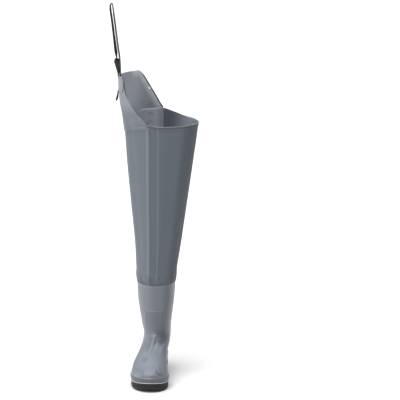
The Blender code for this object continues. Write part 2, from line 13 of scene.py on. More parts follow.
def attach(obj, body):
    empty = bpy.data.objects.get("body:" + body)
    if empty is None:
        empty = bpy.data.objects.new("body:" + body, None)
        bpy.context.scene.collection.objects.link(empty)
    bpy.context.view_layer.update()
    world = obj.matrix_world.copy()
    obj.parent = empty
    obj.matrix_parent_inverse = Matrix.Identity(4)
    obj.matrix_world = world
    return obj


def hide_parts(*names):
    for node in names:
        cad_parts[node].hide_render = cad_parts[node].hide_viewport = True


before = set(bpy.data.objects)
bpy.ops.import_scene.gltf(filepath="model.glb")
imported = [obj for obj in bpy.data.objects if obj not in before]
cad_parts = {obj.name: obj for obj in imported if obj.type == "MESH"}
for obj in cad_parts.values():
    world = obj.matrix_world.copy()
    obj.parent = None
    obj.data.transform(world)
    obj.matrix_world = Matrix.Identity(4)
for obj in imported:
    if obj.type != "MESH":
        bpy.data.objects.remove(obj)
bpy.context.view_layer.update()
scene = bpy.context.scene
millimetre = 0.001
print("frame loaded with", len(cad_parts), "nodes")


# Curves and grids

def table(columns, *rows):
    # rows of sizes, as one array for each named column
    return dict(zip(columns.split(), np.array(rows, float).T))


def smoothCurve(x, xs, ys):
    # cubic through the points (xs, ys) that never overshoots them: at each point the slope is the
    # harmonic mean of the slopes beside it, or 0 at a peak
    steps = np.diff(xs)
    slopes = np.diff(ys) / steps
    product = slopes[:-1] * slopes[1:]
    total = np.where(product > 0, slopes[:-1] + slopes[1:], 1.0)
    bends = np.concatenate([slopes[:1], np.where(product > 0, 2 * product / total, 0.0), slopes[-1:]])
    x = np.clip(np.asarray(x, float), xs[0], xs[-1])
    i = np.clip(np.searchsorted(xs, x) - 1, 0, len(steps) - 1)
    t = (x - xs[i]) / steps[i]
    return (
        (1 + 2 * t) * (1 - t) ** 2 * ys[i]
        + t * (1 - t) ** 2 * steps[i] * bends[i]
        + t * t * (3 - 2 * t) * ys[i + 1]
        + t * t * (t - 1) * steps[i] * bends[i + 1]
    )


def ease(t):
    # 3t^2 - 2t^3 between 0 and 1
    t = np.clip(t, 0.0, 1.0)
    return t * t * (3 - 2 * t)


def bell(x, width):
    # exp(-(x / width)^2)
    return np.exp(-(x / width) ** 2)


def spot(x, z, height, middleX, middleZ, wide, tall):
    # height * exp(-((x - middleX) / wide)^2 - ((z - middleZ) / tall)^2)
    return height * bell(np.hypot((x - middleX) / wide, (z - middleZ) / tall), 1)


def evenly(side, count):
    # count points at equal steps along a line of close points
    length = np.concatenate([[0], np.cumsum(np.linalg.norm(np.diff(side, axis=0), axis=1))])
    at = np.linspace(0, length[-1], count)
    return np.stack([np.interp(at, length, side[:, k]) for k in range(3)], axis=1)


def ringOf(innerX, outerX, y, z, around):
    # a closed ring of evenly placed points: along the inner side from the back, and home along the outer
    inner, outer = (evenly(np.stack([x, y, z], axis=1), around // 2 + 1) for x in (innerX, outerX))
    return np.concatenate([inner, outer[-2:0:-1]])


def unit(vectors):
    return vectors / np.maximum(np.linalg.norm(vectors, axis=-1, keepdims=True), 1e-9)


def closedNormals(rings):
    # across a stack of closed rings: (upwards) x (round the ring)
    along = np.roll(rings, -1, axis=1) - np.roll(rings, 1, axis=1)
    return unit(np.cross(np.gradient(rings, axis=0), along))


def distanceTo(x, z, path):
    # distance in the X-Z plane from each point to a line of straight runs
    best = np.full(np.shape(x), 1e9)
    for (ax, az), (bx, bz) in zip(path[:-1], path[1:]):
        dx, dz = bx - ax, bz - az
        t = np.clip(((x - ax) * dx + (z - az) * dz) / (dx * dx + dz * dz), 0, 1)
        best = np.minimum(best, np.hypot(x - ax - t * dx, z - az - t * dz))
    return best


def gridQuads(rows, columns, rowsClose=False, columnsClose=True, flip=False):
    # quads of a grid that is numbered row by row
    index = np.arange(rows * columns).reshape(rows, columns)
    if rowsClose:
        index = np.concatenate([index, index[:1]])
    if columnsClose:
        index = np.concatenate([index, index[:, :1]], axis=1)
    corners = (index[:-1, :-1], index[1:, :-1], index[1:, 1:], index[:-1, 1:])
    quads = np.stack(corners, axis=-1).reshape(-1, 4)
    return quads[:, ::-1] if flip else quads


def tubeFaces(rows, around):
    # quads round a stack of rings, and one flat face at each end
    last = (rows - 1) * around
    return gridQuads(rows, around).tolist() + [list(range(around))[::-1], list(range(last, last + around))]


def everyFew(rows, step):
    # each step-th row number, and the last
    return np.unique(np.concatenate([np.arange(0, rows, step), [rows - 1]]))


def closeWall(outer, inner, rounding):
    # one closed grid: up the outer rows, over a rounded edge, down the inner rows and under
    over = (outer[-1:] + inner[-1:]) / 2 + np.array([0, 0, rounding])
    under = (outer[:1] + inner[:1]) / 2 - np.array([0, 0, rounding])
    return np.concatenate([outer, over, inner[::-1], under])


def outerField(grid, rows, values, rest=0.0):
    # a field of a closed wall: values on its outer rows, which come first, and one value on the rest
    field = np.full(grid.shape[:2], float(rest))
    field[:rows] = values
    return field


def wholeField(values, few):
    # a field of a closed wall whose inner rows are a few of the outer ones
    return np.concatenate([values, values[-1:], values[few][::-1], values[:1]])


def putMesh(name, points, faces, fields=None, sharp=40.0, weld=False):
    # a piece at the origin, from points in mm; fields are values at each point for its material
    mesh = bpy.data.meshes.new(name)
    mesh.from_pydata((points.reshape(-1, 3) * millimetre).tolist(), [], [list(map(int, f)) for f in faces])
    for field, values in (fields or {}).items():
        stored = mesh.attributes.new(field, "FLOAT", "POINT")
        stored.data.foreach_set("value", values.astype(np.float32).ravel())
    if weld:
        work = bmesh.new()
        work.from_mesh(mesh)
        bmesh.ops.remove_doubles(work, verts=work.verts, dist=1e-6)
        bmesh.ops.recalc_face_normals(work, faces=work.faces)
        work.to_mesh(mesh)
        work.free()
    mesh.validate()
    mesh.shade_smooth()
    mesh.set_sharp_from_angle(angle=math.radians(sharp))
    piece = bpy.data.objects.new(name, mesh)
    scene.collection.objects.link(piece)
    return piece


def dress(piece, finish, slot, *nodes):
    # gives a piece its material and says what it rides on and stands for
    piece.data.materials.clear()
    piece.data.materials.append(finish)
    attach(piece, "root")
    if nodes:
        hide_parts(*nodes)
    print(piece.name, "made,", len(piece.data.polygons), "faces")


# Shader values

class Value:
    # one shader value: adding to it or multiplying it adds a Math node to its material
    def __init__(self, finish, socket):
        self.finish = finish
        self.socket = socket

    def __add__(self, other):
        return self.finish.work("ADD", self, other)

    def __mul__(self, other):
        return self.finish.work("MULTIPLY", self, other)


class Finish:
    # a material with one Principled shader: fixed numbers are set on its own sockets, and colours are laid
    # one over the other on its base
    def __init__(self, name, **fixed):
        self.material = bpy.data.materials.new(name)
        self.material.use_nodes = True
        self.tree = self.material.node_tree
        self.shader = self.tree.nodes["Principled BSDF"]
        for socket, value in fixed.items():
            self.shader.inputs[socket.replace("_", " ")].default_value = value
        self.place = self.node("ShaderNodeTexCoord", output="Object")

    def node(self, kind, settings=None, sockets=None, output=0):
        made = self.tree.nodes.new(kind)
        for name, value in (settings or {}).items():
            setattr(made, name, value)
        for key, value in (sockets or {}).items():
            self.feed(made.inputs[key], value)
        return Value(self, made.outputs[output])

    def feed(self, socket, value):
        if isinstance(value, Value):
            self.tree.links.new(value.socket, socket)
        else:
            socket.default_value = value

    def work(self, operation, *values):
        return self.node("ShaderNodeMath", {"operation": operation}, dict(enumerate(values)))

    def field(self, name):
        # a value that putMesh stored at each point
        return self.node("ShaderNodeAttribute", {"attribute_name": name}, output="Fac")

    def noise(self, scale, detail=3.0, roughness=0.5, stretch=None):
        at = self.place
        if stretch is not None:
            at = self.node("ShaderNodeMapping", {}, {"Vector": self.place, "Scale": stretch})
        sockets = {"Vector": at, "Scale": scale, "Detail": detail, "Roughness": roughness}
        return self.node("ShaderNodeTexNoise", {}, sockets)

    def between(self, value, low, high, a=0.0, b=1.0):
        # a where value is low, b where it is high, with a soft step between
        sockets = {"Value": value, "From Min": low, "From Max": high, "To Min": a, "To Max": b}
        return self.node("ShaderNodeMapRange", {"interpolation_type": "SMOOTHSTEP"}, sockets)

    def band(self, value, start, full, end, gone):
        # 1 where value is from full to end, and 0 before start and after gone
        return self.between(value, start, full) * self.between(value, end, gone, 1.0, 0.0)

    def colours(self, share, a, b):
        # colour a where share is 0, colour b where it is 1
        a = a if isinstance(a, Value) else (*a, 1.0)
        b = b if isinstance(b, Value) else (*b, 1.0)
        return self.node("ShaderNodeMix", {"data_type": "RGBA"}, {0: share, 6: a, 7: b}, output=2)

    def cover(self, share, colour):
        # lays a colour over the base, all of it where share is 1
        self.base = self.colours(share, self.base, colour)

    def stripe(self, value, edges, share, colour):
        # lays a colour over the base in a band of value
        self.cover(self.band(value, *edges) * share, colour)

    def bump(self, height, distance, strength=1.0):
        sockets = {"Height": height, "Distance": distance, "Strength": strength}
        self.feed(self.shader.inputs["Normal"], self.node("ShaderNodeBump", {}, sockets))

    def paint(self, socket, value):
        self.feed(self.shader.inputs[socket], value)


# Camera, floor and lights

# the look point and distance are in metres, and the aim's shift and the focal length in pixels
view = {
    "look": (0.0, -0.04, 0.55), "azimuth": 4.21, "elevation": 13.51, "distance": 8.0,
    "lens": 243.58, "sensor": 36.0, "focal": 2706.4, "right": 45.22, "down": 6.8,
}


def makeCamera():
    # stands at a distance from the look point, aimed a little to the right of it and below it
    azimuth, elevation = math.radians(view["azimuth"]), math.radians(view["elevation"])
    flat = math.cos(elevation)
    out = Vector((math.sin(azimuth) * flat, -math.cos(azimuth) * flat, math.sin(elevation)))
    data = bpy.data.cameras.new("camera")
    data.lens = view["lens"]
    data.sensor_width = view["sensor"]
    camera = bpy.data.objects.new("camera", data)
    scene.collection.objects.link(camera)
    aim = (-out).to_track_quat("-Z", "Y").to_matrix().to_4x4()
    yaw = Matrix.Rotation(-math.atan(view["right"] / view["focal"]), 4, "Y")
    pitch = Matrix.Rotation(-math.atan(view["down"] / view["focal"]), 4, "X")
    place = Matrix.Translation(Vector(view["look"]) + out * view["distance"])
    camera.matrix_world = place @ aim @ yaw @ pitch
    scene.camera = camera


studio = {
    "floor": 60.0, "floorColour": (0.68, 0.68, 0.685), "world": (1.0, 1.0, 1.0), "worldPower": 0.17,
    # each light: kind, place, what it points at, size in metres or angle in degrees, and power
    "lights": {
        "front": ("SUN", (-0.62, -1.0, 1.6), (0, 0, 0), 55.0, 1.75),
        "side": ("SUN", (-1.0, 0.15, 0.25), (0, 0, 0), 40.0, 0.9),
        "top": ("SUN", (-0.1, -0.3, 3.0), (0, 0, 0), 60.0, 3.7),
        "low": ("AREA", (-1.0, -3.2, 0.35), (0, -0.1, 0.2), 2.2, 14.0),
    },
}


def makeStudio():
    mesh = bpy.data.meshes.new("floor")
    edge = studio["floor"]
    corners = [(-edge, -edge, 0), (edge, -edge, 0), (edge, edge, 0), (-edge, edge, 0)]
    mesh.from_pydata(corners, [], [(0, 1, 2, 3)])
    floor = bpy.data.objects.new("floor", mesh)
    scene.collection.objects.link(floor)
    paper = Finish("floorPaper", Roughness=0.9)
    paper.paint("Base Color", (*studio["floorColour"], 1.0))
    mesh.materials.append(paper.material)
    world = bpy.data.worlds.new("studio")
    world.use_nodes = True
    back = world.node_tree.nodes["Background"]
    back.inputs["Color"].default_value = (*studio["world"], 1.0)
    back.inputs["Strength"].default_value = studio["worldPower"]
    scene.world = world
    for name, (kind, place, target, size, power) in studio["lights"].items():
        data = bpy.data.lights.new(name, kind)
        if kind == "SUN":
            data.angle = math.radians(size)
        else:
            data.size = size
        data.energy = power
        light = bpy.data.objects.new(name, data)
        light.location = place
        light.rotation_mode = "QUATERNION"
        light.rotation_quaternion = (Vector(target) - Vector(place)).to_track_quat("-Z", "Y")
        scene.collection.objects.link(light)
    scene.view_settings.view_transform = "Standard"
    scene.view_settings.look = "None"


# Sole

sole = {
    "length": 300.0, "heelBack": 42.0, "heelCap": 38.0, "toeCap": 70.0,
    "seat": 0.4, "welt": 2.2, "gap": 0.3, "topAcross": 9,
}
soleWidth = table(
    "s half bow",
    (0, 36.0, 0.0), (38, 36.0, 0.0), (75, 35.2, -2.0), (110, 34.5, -6.0), (150, 37.6, -9.0),
    (185, 46.2, -9.0), (215, 54.0, -5.5), (230, 55.0, -4.0), (265, 55.0, -1.5), (300, 55.0, 0.0),
)
soleHeight = table(
    "s top bottom",
    (0, 32.0, 3.0), (12, 31.5, 0.0), (80, 30.0, 0.0), (84, 29.8, 9.0), (120, 26.0, 10.0), (150, 23.2, 6.0),
    (170, 22.4, 0.0), (200, 22.2, 0.0), (245, 23.5, 0.0), (262, 25.0, 1.2), (280, 27.5, 4.5),
    (300, 31.5, 11.0),
)
soleSide = table(
    "inset share",
    (4.0, 0.0), (2.9, 0.03), (2.0, 0.08), (1.2, 0.16), (0.5, 0.28), (0.0, 0.40), (0.35, 0.43), (1.1, 0.45),
    (1.3, 0.48), (1.3, 0.54), (1.1, 0.57), (0.35, 0.59), (0.0, 0.62), (0.0, 0.8), (0.0, 0.97), (0.25, 1.0),
)
tread = {
    "heel": (17.0, 55.0, 70.0), "ball": (178.0, 193.0, 208.0, 223.0, 238.0), "width": 5.0, "depth": 4.5,
    "angle": math.radians(15), "across": 90, "sipeDepth": 0.9, "sipeWidth": 1.1, "sipeAway": 7.5,
    "archMiddle": 120, "archReach": 22, "ribRaise": 0.8, "ribPitch": 8.0,
}


def soleTop(y):
    return smoothCurve(sole["heelBack"] - y, soleHeight["s"], soleHeight["top"])


def soleBow(y):
    return smoothCurve(sole["heelBack"] - y, soleWidth["s"], soleWidth["bow"])


def capWidth(a, cap):
    # width of an elliptical end, from 0 at its tip to 1 where it is cap long
    return np.sqrt(np.clip(1 - (np.clip(cap - a, 0, None) / cap) ** 2, 0, 1))


def soleStations():
    # distances from the heel's back: close together at the round ends, and about 1.25 mm apart between
    heel = sole["heelCap"] * (1 - np.cos(np.radians(np.linspace(0, 90, 26))))
    toe = sole["length"] - sole["toeCap"] * (1 - np.cos(np.radians(np.linspace(0, 90, 40))))
    middle = np.arange(sole["heelCap"] + 1.2, sole["length"] - sole["toeCap"] - 0.6, 1.25)
    return np.unique(np.round(np.concatenate([heel, middle, toe]), 3))


def soleLoop(inset):
    # x = bow +- half(s) * round ends, y = heelBack - s, then moved inwards by inset
    s = soleStations()
    half = smoothCurve(s, soleWidth["s"], soleWidth["half"]) * capWidth(s, sole["heelCap"])
    half = half * capWidth(sole["length"] - s, sole["toeCap"])
    bow = smoothCurve(s, soleWidth["s"], soleWidth["bow"])
    y = sole["heelBack"] - s
    loop = np.concatenate([np.stack([bow + half, y], 1), np.stack([bow - half, y], 1)[-2:0:-1]])
    along = np.roll(loop, -1, axis=0) - np.roll(loop, 1, axis=0)
    return loop - inset * unit(np.stack([-along[:, 1], along[:, 0]], 1))


def acrossGrid(loop, count):
    # rows from the inner to the outer side, between the points of a loop that face each other
    half = len(loop) // 2
    inner = loop[: half + 1]
    outer = np.concatenate([loop[:1], loop[:half - 1:-1]])
    t = np.linspace(0, 1, count)[None, :, None]
    return inner[:, None] * (1 - t) + outer[:, None] * t


def soleLayer(inset, up):
    # the sole's outline, moved inwards by inset and up from the outsole's seat
    loop = soleLoop(inset)
    return np.column_stack([loop, soleTop(loop[:, 1]) - sole["seat"] - sole["welt"] + up])


def soleBlock(name, sides, under, over, sharp=40.0):
    # a closed block of stacked sides, an underside and a top
    points, faces, start = [], [], 0
    for block, closes, flip in ((sides, True, False), (under, False, False), (over, False, True)):
        faces.append(gridQuads(*block.shape[:2], columnsClose=closes, flip=flip) + start)
        points.append(block.reshape(-1, 3))
        start += len(points[-1])
    return putMesh(name, np.concatenate(points), np.concatenate(faces), weld=True, sharp=sharp)


def treadHeight(x, y, low):
    # the tread's plane with chevron grooves: depth where |y - y0 - tan(angle) |x - middle|| < width / 2,
    # a fine cut on both sides of each groove, and small ribs across the arch
    away = np.abs(x - soleBow(y)) * math.tan(tread["angle"])
    high = low
    for s in tread["heel"] + tread["ball"]:
        off = y - (sole["heelBack"] - s) - away
        groove = 1 - ease(np.abs(off) * math.cos(tread["angle"]) - tread["width"] / 2 + 0.5)
        high = np.maximum(high, tread["depth"] * groove)
        for side in (-tread["sipeAway"], tread["sipeAway"]):
            sipe = 1 - ease((np.abs(off + side) - tread["sipeWidth"] / 2) / 0.6)
            high = np.maximum(high, (low + tread["sipeDepth"] * sipe) * (low < 0.5))
    arch = bell(sole["heelBack"] - y - tread["archMiddle"], tread["archReach"])
    ribs = ease(np.cos(2 * math.pi * (y - away) / tread["ribPitch"]) * 2)
    return high + tread["ribRaise"] * arch * ribs


def makeOutsole(finish):
    sides = []
    for inset, share in zip(soleSide["inset"], soleSide["share"]):
        side = soleLayer(inset, -sole["gap"])
        bottom = np.interp(sole["heelBack"] - side[:, 1], soleHeight["s"], soleHeight["bottom"])
        side[:, 2] = bottom + share * (side[:, 2] - bottom)
        sides.append(side)
    under = acrossGrid(sides[0], tread["across"])
    deep = treadHeight(under[..., 0], under[..., 1], under[..., 2])
    deep[:, [0, -1]] = under[:, [0, -1], 2]
    deep[[0, -1]] = under[[0, -1], :, 2]
    under[..., 2] = deep
    over = acrossGrid(sides[-1], sole["topAcross"])
    piece = soleBlock("outsole_rubber", np.array(sides), under, over, sharp=50.0)
    dress(piece, finish, "sole_rubber", "outsole")


# a rounded rectangle: how far inside the sole's outline, and how far up
weltProfile = ((3.6, 0.0), (-0.2, 0.0), (-0.6, 0.4), (-0.6, 1.8), (-0.2, 2.2), (3.6, 2.2))


def makeWelt(finish):
    # the profile carried round the sole's outline
    loops = np.array([soleLayer(inset, up) for inset, up in weltProfile])
    piece = putMesh("welt_line", loops, gridQuads(*loops.shape[:2], rowsClose=True))
    dress(piece, finish, "welt_rubber", "welt")


insole = {
    # inset and height of each loop of its side; the dips' depth, and the place and reach of each
    "side": ((6.5, 0.0), (6.5, 2.6), (6.9, 3.2), (7.8, 3.5)), "across": 25, "dip": 0.9,
    "heel": (45, 30), "ball": (215, 40),
}


def makeInsole(finish):
    # stacked loops with a rounded upper edge, and a top that dips a little at the heel and the ball:
    # dip * (1 - across^2)^2 * (bell at the heel + bell at the ball)
    sides = np.array([soleLayer(inset, up) for inset, up in insole["side"]])
    over = acrossGrid(sides[-1], insole["across"])
    across = np.linspace(-1, 1, insole["across"])[None]
    s = sole["heelBack"] - over[..., 1]
    dips = sum(bell(s - insole[end][0], insole[end][1]) for end in ("heel", "ball"))
    over[..., 2] -= insole["dip"] * (1 - across ** 2) ** 2 * dips
    piece = soleBlock("footbed_felt", sides, acrossGrid(sides[0], sole["topAcross"]), over)
    dress(piece, finish, "footbed", "insole")


# Boot

boot = {
    "top": 309.0, "wall": 2.4, "foxing": 43.0, "ankle": 128.0, "around": 240,
    "frontY": -62, "frontSoft": 10,
    "panelTop": 205.0, "panelBottom": 102.0, "panelHalf": 29.0, "panelRaise": 1.0, "panelCorner": 7.0,
    "hemLine": 282.6,
}
bootRings = table(
    "frontZ frontY backZ backY heel waist ball heelCap toeCap shift",
    (31.5, -257.6, 32, 41.0, 35.2, 34.0, 55.0, 38, 70, 0),
    (36, -259.0, 40, 42.5, 36.2, 34.4, 56.6, 38, 71, 0),
    (43, -259.5, 52, 45.0, 37.0, 34.8, 57.2, 39, 72, 0),
    (45.5, -257.0, 54.5, 43.8, 35.6, 33.4, 55.4, 39, 72, 0),
    (52, -253.0, 65, 45.0, 35.8, 32.8, 53.8, 40, 73, 0.5),
    (59, -245.5, 75, 44.5, 35.6, 32.6, 51.2, 42, 74, 1),
    (67, -231.0, 86, 42.5, 35.4, 33.0, 47.6, 45, 76, 2.5),
    (76, -206.0, 96, 39.0, 35.6, 34.0, 43.5, 49, 79, 5),
    (86, -177.0, 105, 35.0, 36.4, 35.5, 40.8, 53, 80, 7),
    (98, -148.0, 114, 31.0, 37.4, 37.2, 40.2, 57, 78, 8.3),
    (111, -124.0, 123, 28.0, 38.8, 38.8, 40.0, 60, 74, 8.3),
    (128, -107.5, 135, 26.0, 40.2, 40.2, 40.2, 61, 69, 7.6),
    (147, -101.5, 150, 25.5, 42.6, 42.6, 42.6, 62, 65, 5.8),
    (167, -101.0, 168, 26.5, 45.2, 45.2, 45.2, 63.7, 63.8, 5.0),
    (197, -103.5, 197, 28.0, 49.6, 49.6, 49.6, 65.7, 65.8, 4.5),
    (227, -107.0, 227, 28.5, 53.4, 53.4, 53.4, 67.7, 67.8, 4.4),
    (257, -110.0, 257, 28.5, 55.6, 55.6, 55.6, 69.2, 69.3, 4.7),
    (285, -112.0, 285, 28.0, 56.6, 56.6, 56.6, 70.0, 70.0, 5.0),
    (309, -113.0, 309, 27.5, 57.2, 57.2, 57.2, 70.2, 70.3, 5.2),
)
# soft troughs (below 0) and ridges of the boot's front, as X-Z lines: depth, width and line in mm
bootCreases = {
    "instepRidge": (2.3, 3.0, ((6.0, 127), (1, 113), (-7, 97))),
    "innerHollow": (-2.0, 12.0, ((19, 146), (20, 130), (17, 118))),
    "instepTrough": (-1.3, 3.4, ((10, 112), (4, 102), (-1, 94))),
    "outerTrough": (-1.0, 5.0, ((-11, 122), (-17, 106))),
    "innerRidge": (1.3, 6.0, ((42, 124), (39, 106), (27, 96))),
    "vampDent": (-1.5, 5.0, ((-18, 84), (-27, 78))),
    "toeFold": (-0.9, 2.4, ((20, 62), (27, 54), (35, 49))),
    "sideFold": (-0.7, 2.2, ((29, 66), (35, 58))),
    "toeRidge": (0.4, 4.0, ((23, 70), (31, 57), (38, 50))),
}
# the shin bulges over the instep's bend, which sinks below it: height, level and reach of each in mm, and
# the middle and half width of both in X
instepFold = {
    "raise": 3.0, "over": 119.0, "sink": 3.4, "under": 96.0, "reach": 10.0, "middle": 6.0, "wide": 21.0,
}
# painted shade and painted highlights on the boot's front: strength, middle in X and Z, and reach in X and
# Z
bootSpots = {
    "hollow": (1.0, 21, 120, 14, 27), "dent": (0.5, -21, 81, 8, 5), "shin": (0.7, -4, 111, 15, 17),
    "inner": (0.25, 32, 75, 12, 16), "vamp": (1.0, -14, 78, 34, 18), "ankle": (0.9, -34, 112, 12, 26),
}


def bootRing(level, around):
    # an oval with elliptical ends, tilted from its back to its front, that follows the sole low down
    row = {name: float(smoothCurve(level, bootRings["frontZ"], bootRings[name])) for name in bootRings}
    a = (1 - np.cos(np.linspace(0, math.pi, 401))) / 2
    length = row["backY"] - row["frontY"]
    y = row["backY"] - a * length
    heelEnd = min(row["heelCap"], length / 2)
    toeEnd = length - min(row["toeCap"], length - heelEnd)
    middle = (heelEnd + toeEnd) / 2
    backPart = ease((a * length - heelEnd) / max(middle - heelEnd, 1e-6))
    frontPart = ease((a * length - middle) / max(toeEnd - middle, 1e-6))
    half = row["heel"] + (row["waist"] - row["heel"]) * backPart + (row["ball"] - row["waist"]) * frontPart
    half = half * capWidth(a * length, heelEnd) * capWidth((1 - a) * length, length - toeEnd)
    follow = 1 - ease((row["frontZ"] - boot["foxing"]) / (boot["ankle"] - boot["foxing"]))
    ends = soleTop(np.array([row["backY"], row["frontY"]]))
    sag = soleTop(y) - (ends[0] + a * (ends[1] - ends[0]))
    z = row["backZ"] + a * (row["frontZ"] - row["backZ"]) + follow * sag
    x = row["shift"] + follow * soleBow(y)
    return ringOf(x + half, x - half, y, z, around)


def paintedBootShade(x, y, z, level, shift, front):
    # painted shade in the instep's hollow, down the inner side, in the toe's folds and over the toe, from 0
    # to 1
    inward = (x - shift) / np.maximum(np.abs(x - shift).max(axis=1, keepdims=True), 1e-6)
    hollow, dent = spot(x, z, *bootSpots["hollow"]), spot(x, z, *bootSpots["dent"])
    shin, inner = spot(x, z, *bootSpots["shin"]), spot(x, z, *bootSpots["inner"])
    band = 0.55 * bell((inward - 0.66) / 0.2, 1) * ease((level - 90) / 60)
    folds = 0.6 * bell(distanceTo(x, z, bootCreases["toeFold"][2]), 3.0)
    shin = shin * (1 - bell(distanceTo(x, z, bootCreases["instepRidge"][2]), 4.5))
    shade = 0.32 * ease((inward + 0.45) / 0.5) * (1 - 0.7 * ease((inward - 0.75) / 0.2))
    shade = shade * ease((level - 120) / 50)
    toe = 1.1 * bell(x, 25.0) * (1 - ease((level - 44) / 38)) * ease((-205 - y) / 20)
    return np.clip((hollow + band + dent + folds + shin + shade + inner) * front + toe, 0, 1)


def makeBoot(finish):
    # levels are 1 mm apart on the foot, closer at the foxing's and the panel's edges, and wider on the shin
    levels = np.unique(np.round(np.concatenate([
        np.arange(31.5, 42.5, 1.0), np.arange(42.5, 46.6, 0.3), np.arange(47, boot["ankle"], 1.0),
        np.arange(boot["ankle"], boot["top"] + 0.1, 2.5), boot["panelTop"] + np.arange(-1.2, 1.3, 0.3),
        [boot["top"]],
    ]), 2))
    rings = np.array([bootRing(level, boot["around"]) for level in levels])
    normals = closedNormals(rings)
    normals[[0, -1], :, 2] = 0
    x, y, z = rings[..., 0], rings[..., 1], rings[..., 2]
    level = levels[:, None]
    shift = smoothCurve(level, bootRings["frontZ"], bootRings["shift"])
    front = ease((boot["frontY"] - y) / boot["frontSoft"])
    # the panel: 1 inside its sides, below its top, which has round corners, and fading out low down
    corner = boot["panelCorner"] * ease((level - boot["panelTop"] + 12) / 12) ** 2
    side = 1 - ease((np.abs(x - shift + 1.5) - boot["panelHalf"] + corner + 1) / 2.5)
    panel = side * front * (1 - ease((level - boot["panelTop"] + 0.7) / 0.9))
    panel = panel * ease((level - boot["panelBottom"]) / 18)
    relief = boot["panelRaise"] * panel
    for depth, width, path in bootCreases.values():
        relief = relief + depth * bell(distanceTo(x, z, path), width) * front
    across = bell(x - instepFold["middle"], instepFold["wide"]) * front
    relief = relief + instepFold["raise"] * across * bell(z - instepFold["over"], instepFold["reach"])
    relief = relief - instepFold["sink"] * across * bell(z - instepFold["under"], instepFold["reach"])
    outer = rings + relief[..., None] * normals
    few = everyFew(len(levels), 4)
    inner = outer[few] - boot["wall"] * normals[few]
    inner[0, :, 2] = outer[0, :, 2]
    grid = closeWall(outer, inner, 0.5)
    # painted highlights: a pale line along the panel's top edge and one under the leg's foot
    paintedEdgeLight = side * front * bell(level - boot["panelTop"], 0.9) + 2.6 * bell(z - boot["hemLine"], 1.5)
    # painted highlights on the vamp and on the outer ankle
    paintedLight = spot(x, z, *bootSpots["vamp"]) * ease((-130 - y) / 20)
    paintedLight = paintedLight + spot(x, z, *bootSpots["ankle"]) * ease((-20 - y) / 20)
    fields = {
        "foxing": 1 - ease((level - boot["foxing"] - 1) / 1.5), "paintedEdgeLight": paintedEdgeLight, "panel": panel,
        "paintedShade": paintedBootShade(x, y, z, level, shift, front), "paintedLight": paintedLight,
    }
    fields = {name: outerField(grid, len(levels), values) for name, values in fields.items()}
    fields["inside"] = outerField(grid, len(levels), 0, 1)
    piece = putMesh("boot_rubber", grid, gridQuads(*grid.shape[:2], rowsClose=True), fields, sharp=60.0)
    dress(piece, finish, "boot_rubber", "boot_upper")


# Leg and flap

leg = {
    "hem": 285.0, "wall": 1.2, "hemRaise": 0.8, "hemHeight": 12.0, "stripRaise": 0.8, "columns": 44,
    "around": 352, "across": 236, "straight": 700, "foldLow": 340, "foldTall": 420, "highest": 911.0,
    "bunchRaise": 0.85, "bunchMiddle": 306, "bunchReach": 14,
}
legOval = table(
    "z halfX halfY midX midY",
    (340, 62.0, 73.8, 6.5, -40.0), (402, 69.0, 77.0, 9.5, -36.0), (524, 83.8, 82.5, 11.8, -28.0),
    (645, 98.2, 86.5, 14.4, -20.5), (736, 108.0, 89.5, 17.0, -15.5), (767, 112.0, 90.2, 17.0, -14.0),
    (797, 116.3, 91.0, 17.0, -12.8), (821, 120.8, 91.6, 17.0, -12.0), (852, 123.7, 92.2, 17.0, -11.0),
    (910, 124.6, 93.0, 17.0, -9.0),
)
backCrease = table("z out", (340, 0.0), (524, 2.0), (700, 5.0), (783, 6.5), (910, 4.0))
strip = table("z inner outer", (285, 21.15, 23.85), (335, 21.25, 23.95), (760, 22.05, 24.15))
rim = table(
    "angle z",
    (-180, 783), (-158, 771), (-141, 765), (-119, 762), (-90, 761), (-48, 763), (0, 763),
    (18, 767), (50, 757), (85, 748), (110, 757), (135, 775), (150, 783), (180, 783),
)
# long soft folds of the leg: angle at its foot and at its rim, height of the fold in mm, width in degrees
legFolds = (
    (-22, -22, -1.6, 10), (-37, -39.5, 1.3, 6.5), (23, 21.5, 1.5, 3.0), (48, 52, -2.7, 10),
    (-72, -78, -1.6, 13), (96, 104, -1.8, 15), (-118, -124, 1.3, 9), (140, 146, -1.4, 12),
    (-150, -146, -1.3, 10),
)


def ovalRing(z, around):
    # an ellipse whose back is drawn out into a soft crease by out * (1 - angle / 32)^1.5
    at = {name: float(smoothCurve(z, legOval["z"], legOval[name])) for name in legOval}
    turn = np.linspace(0, math.pi, 721)
    out = smoothCurve(z, backCrease["z"], backCrease["out"])
    out = out * np.clip(1 - np.degrees(turn) / 32.0, 0, 1) ** 1.5
    x = (at["halfX"] + out) * np.sin(turn)
    y = at["midY"] + (at["halfY"] + out) * np.cos(turn)
    return ringOf(at["midX"] + x, at["midX"] - x, y, np.full_like(x, z), around)


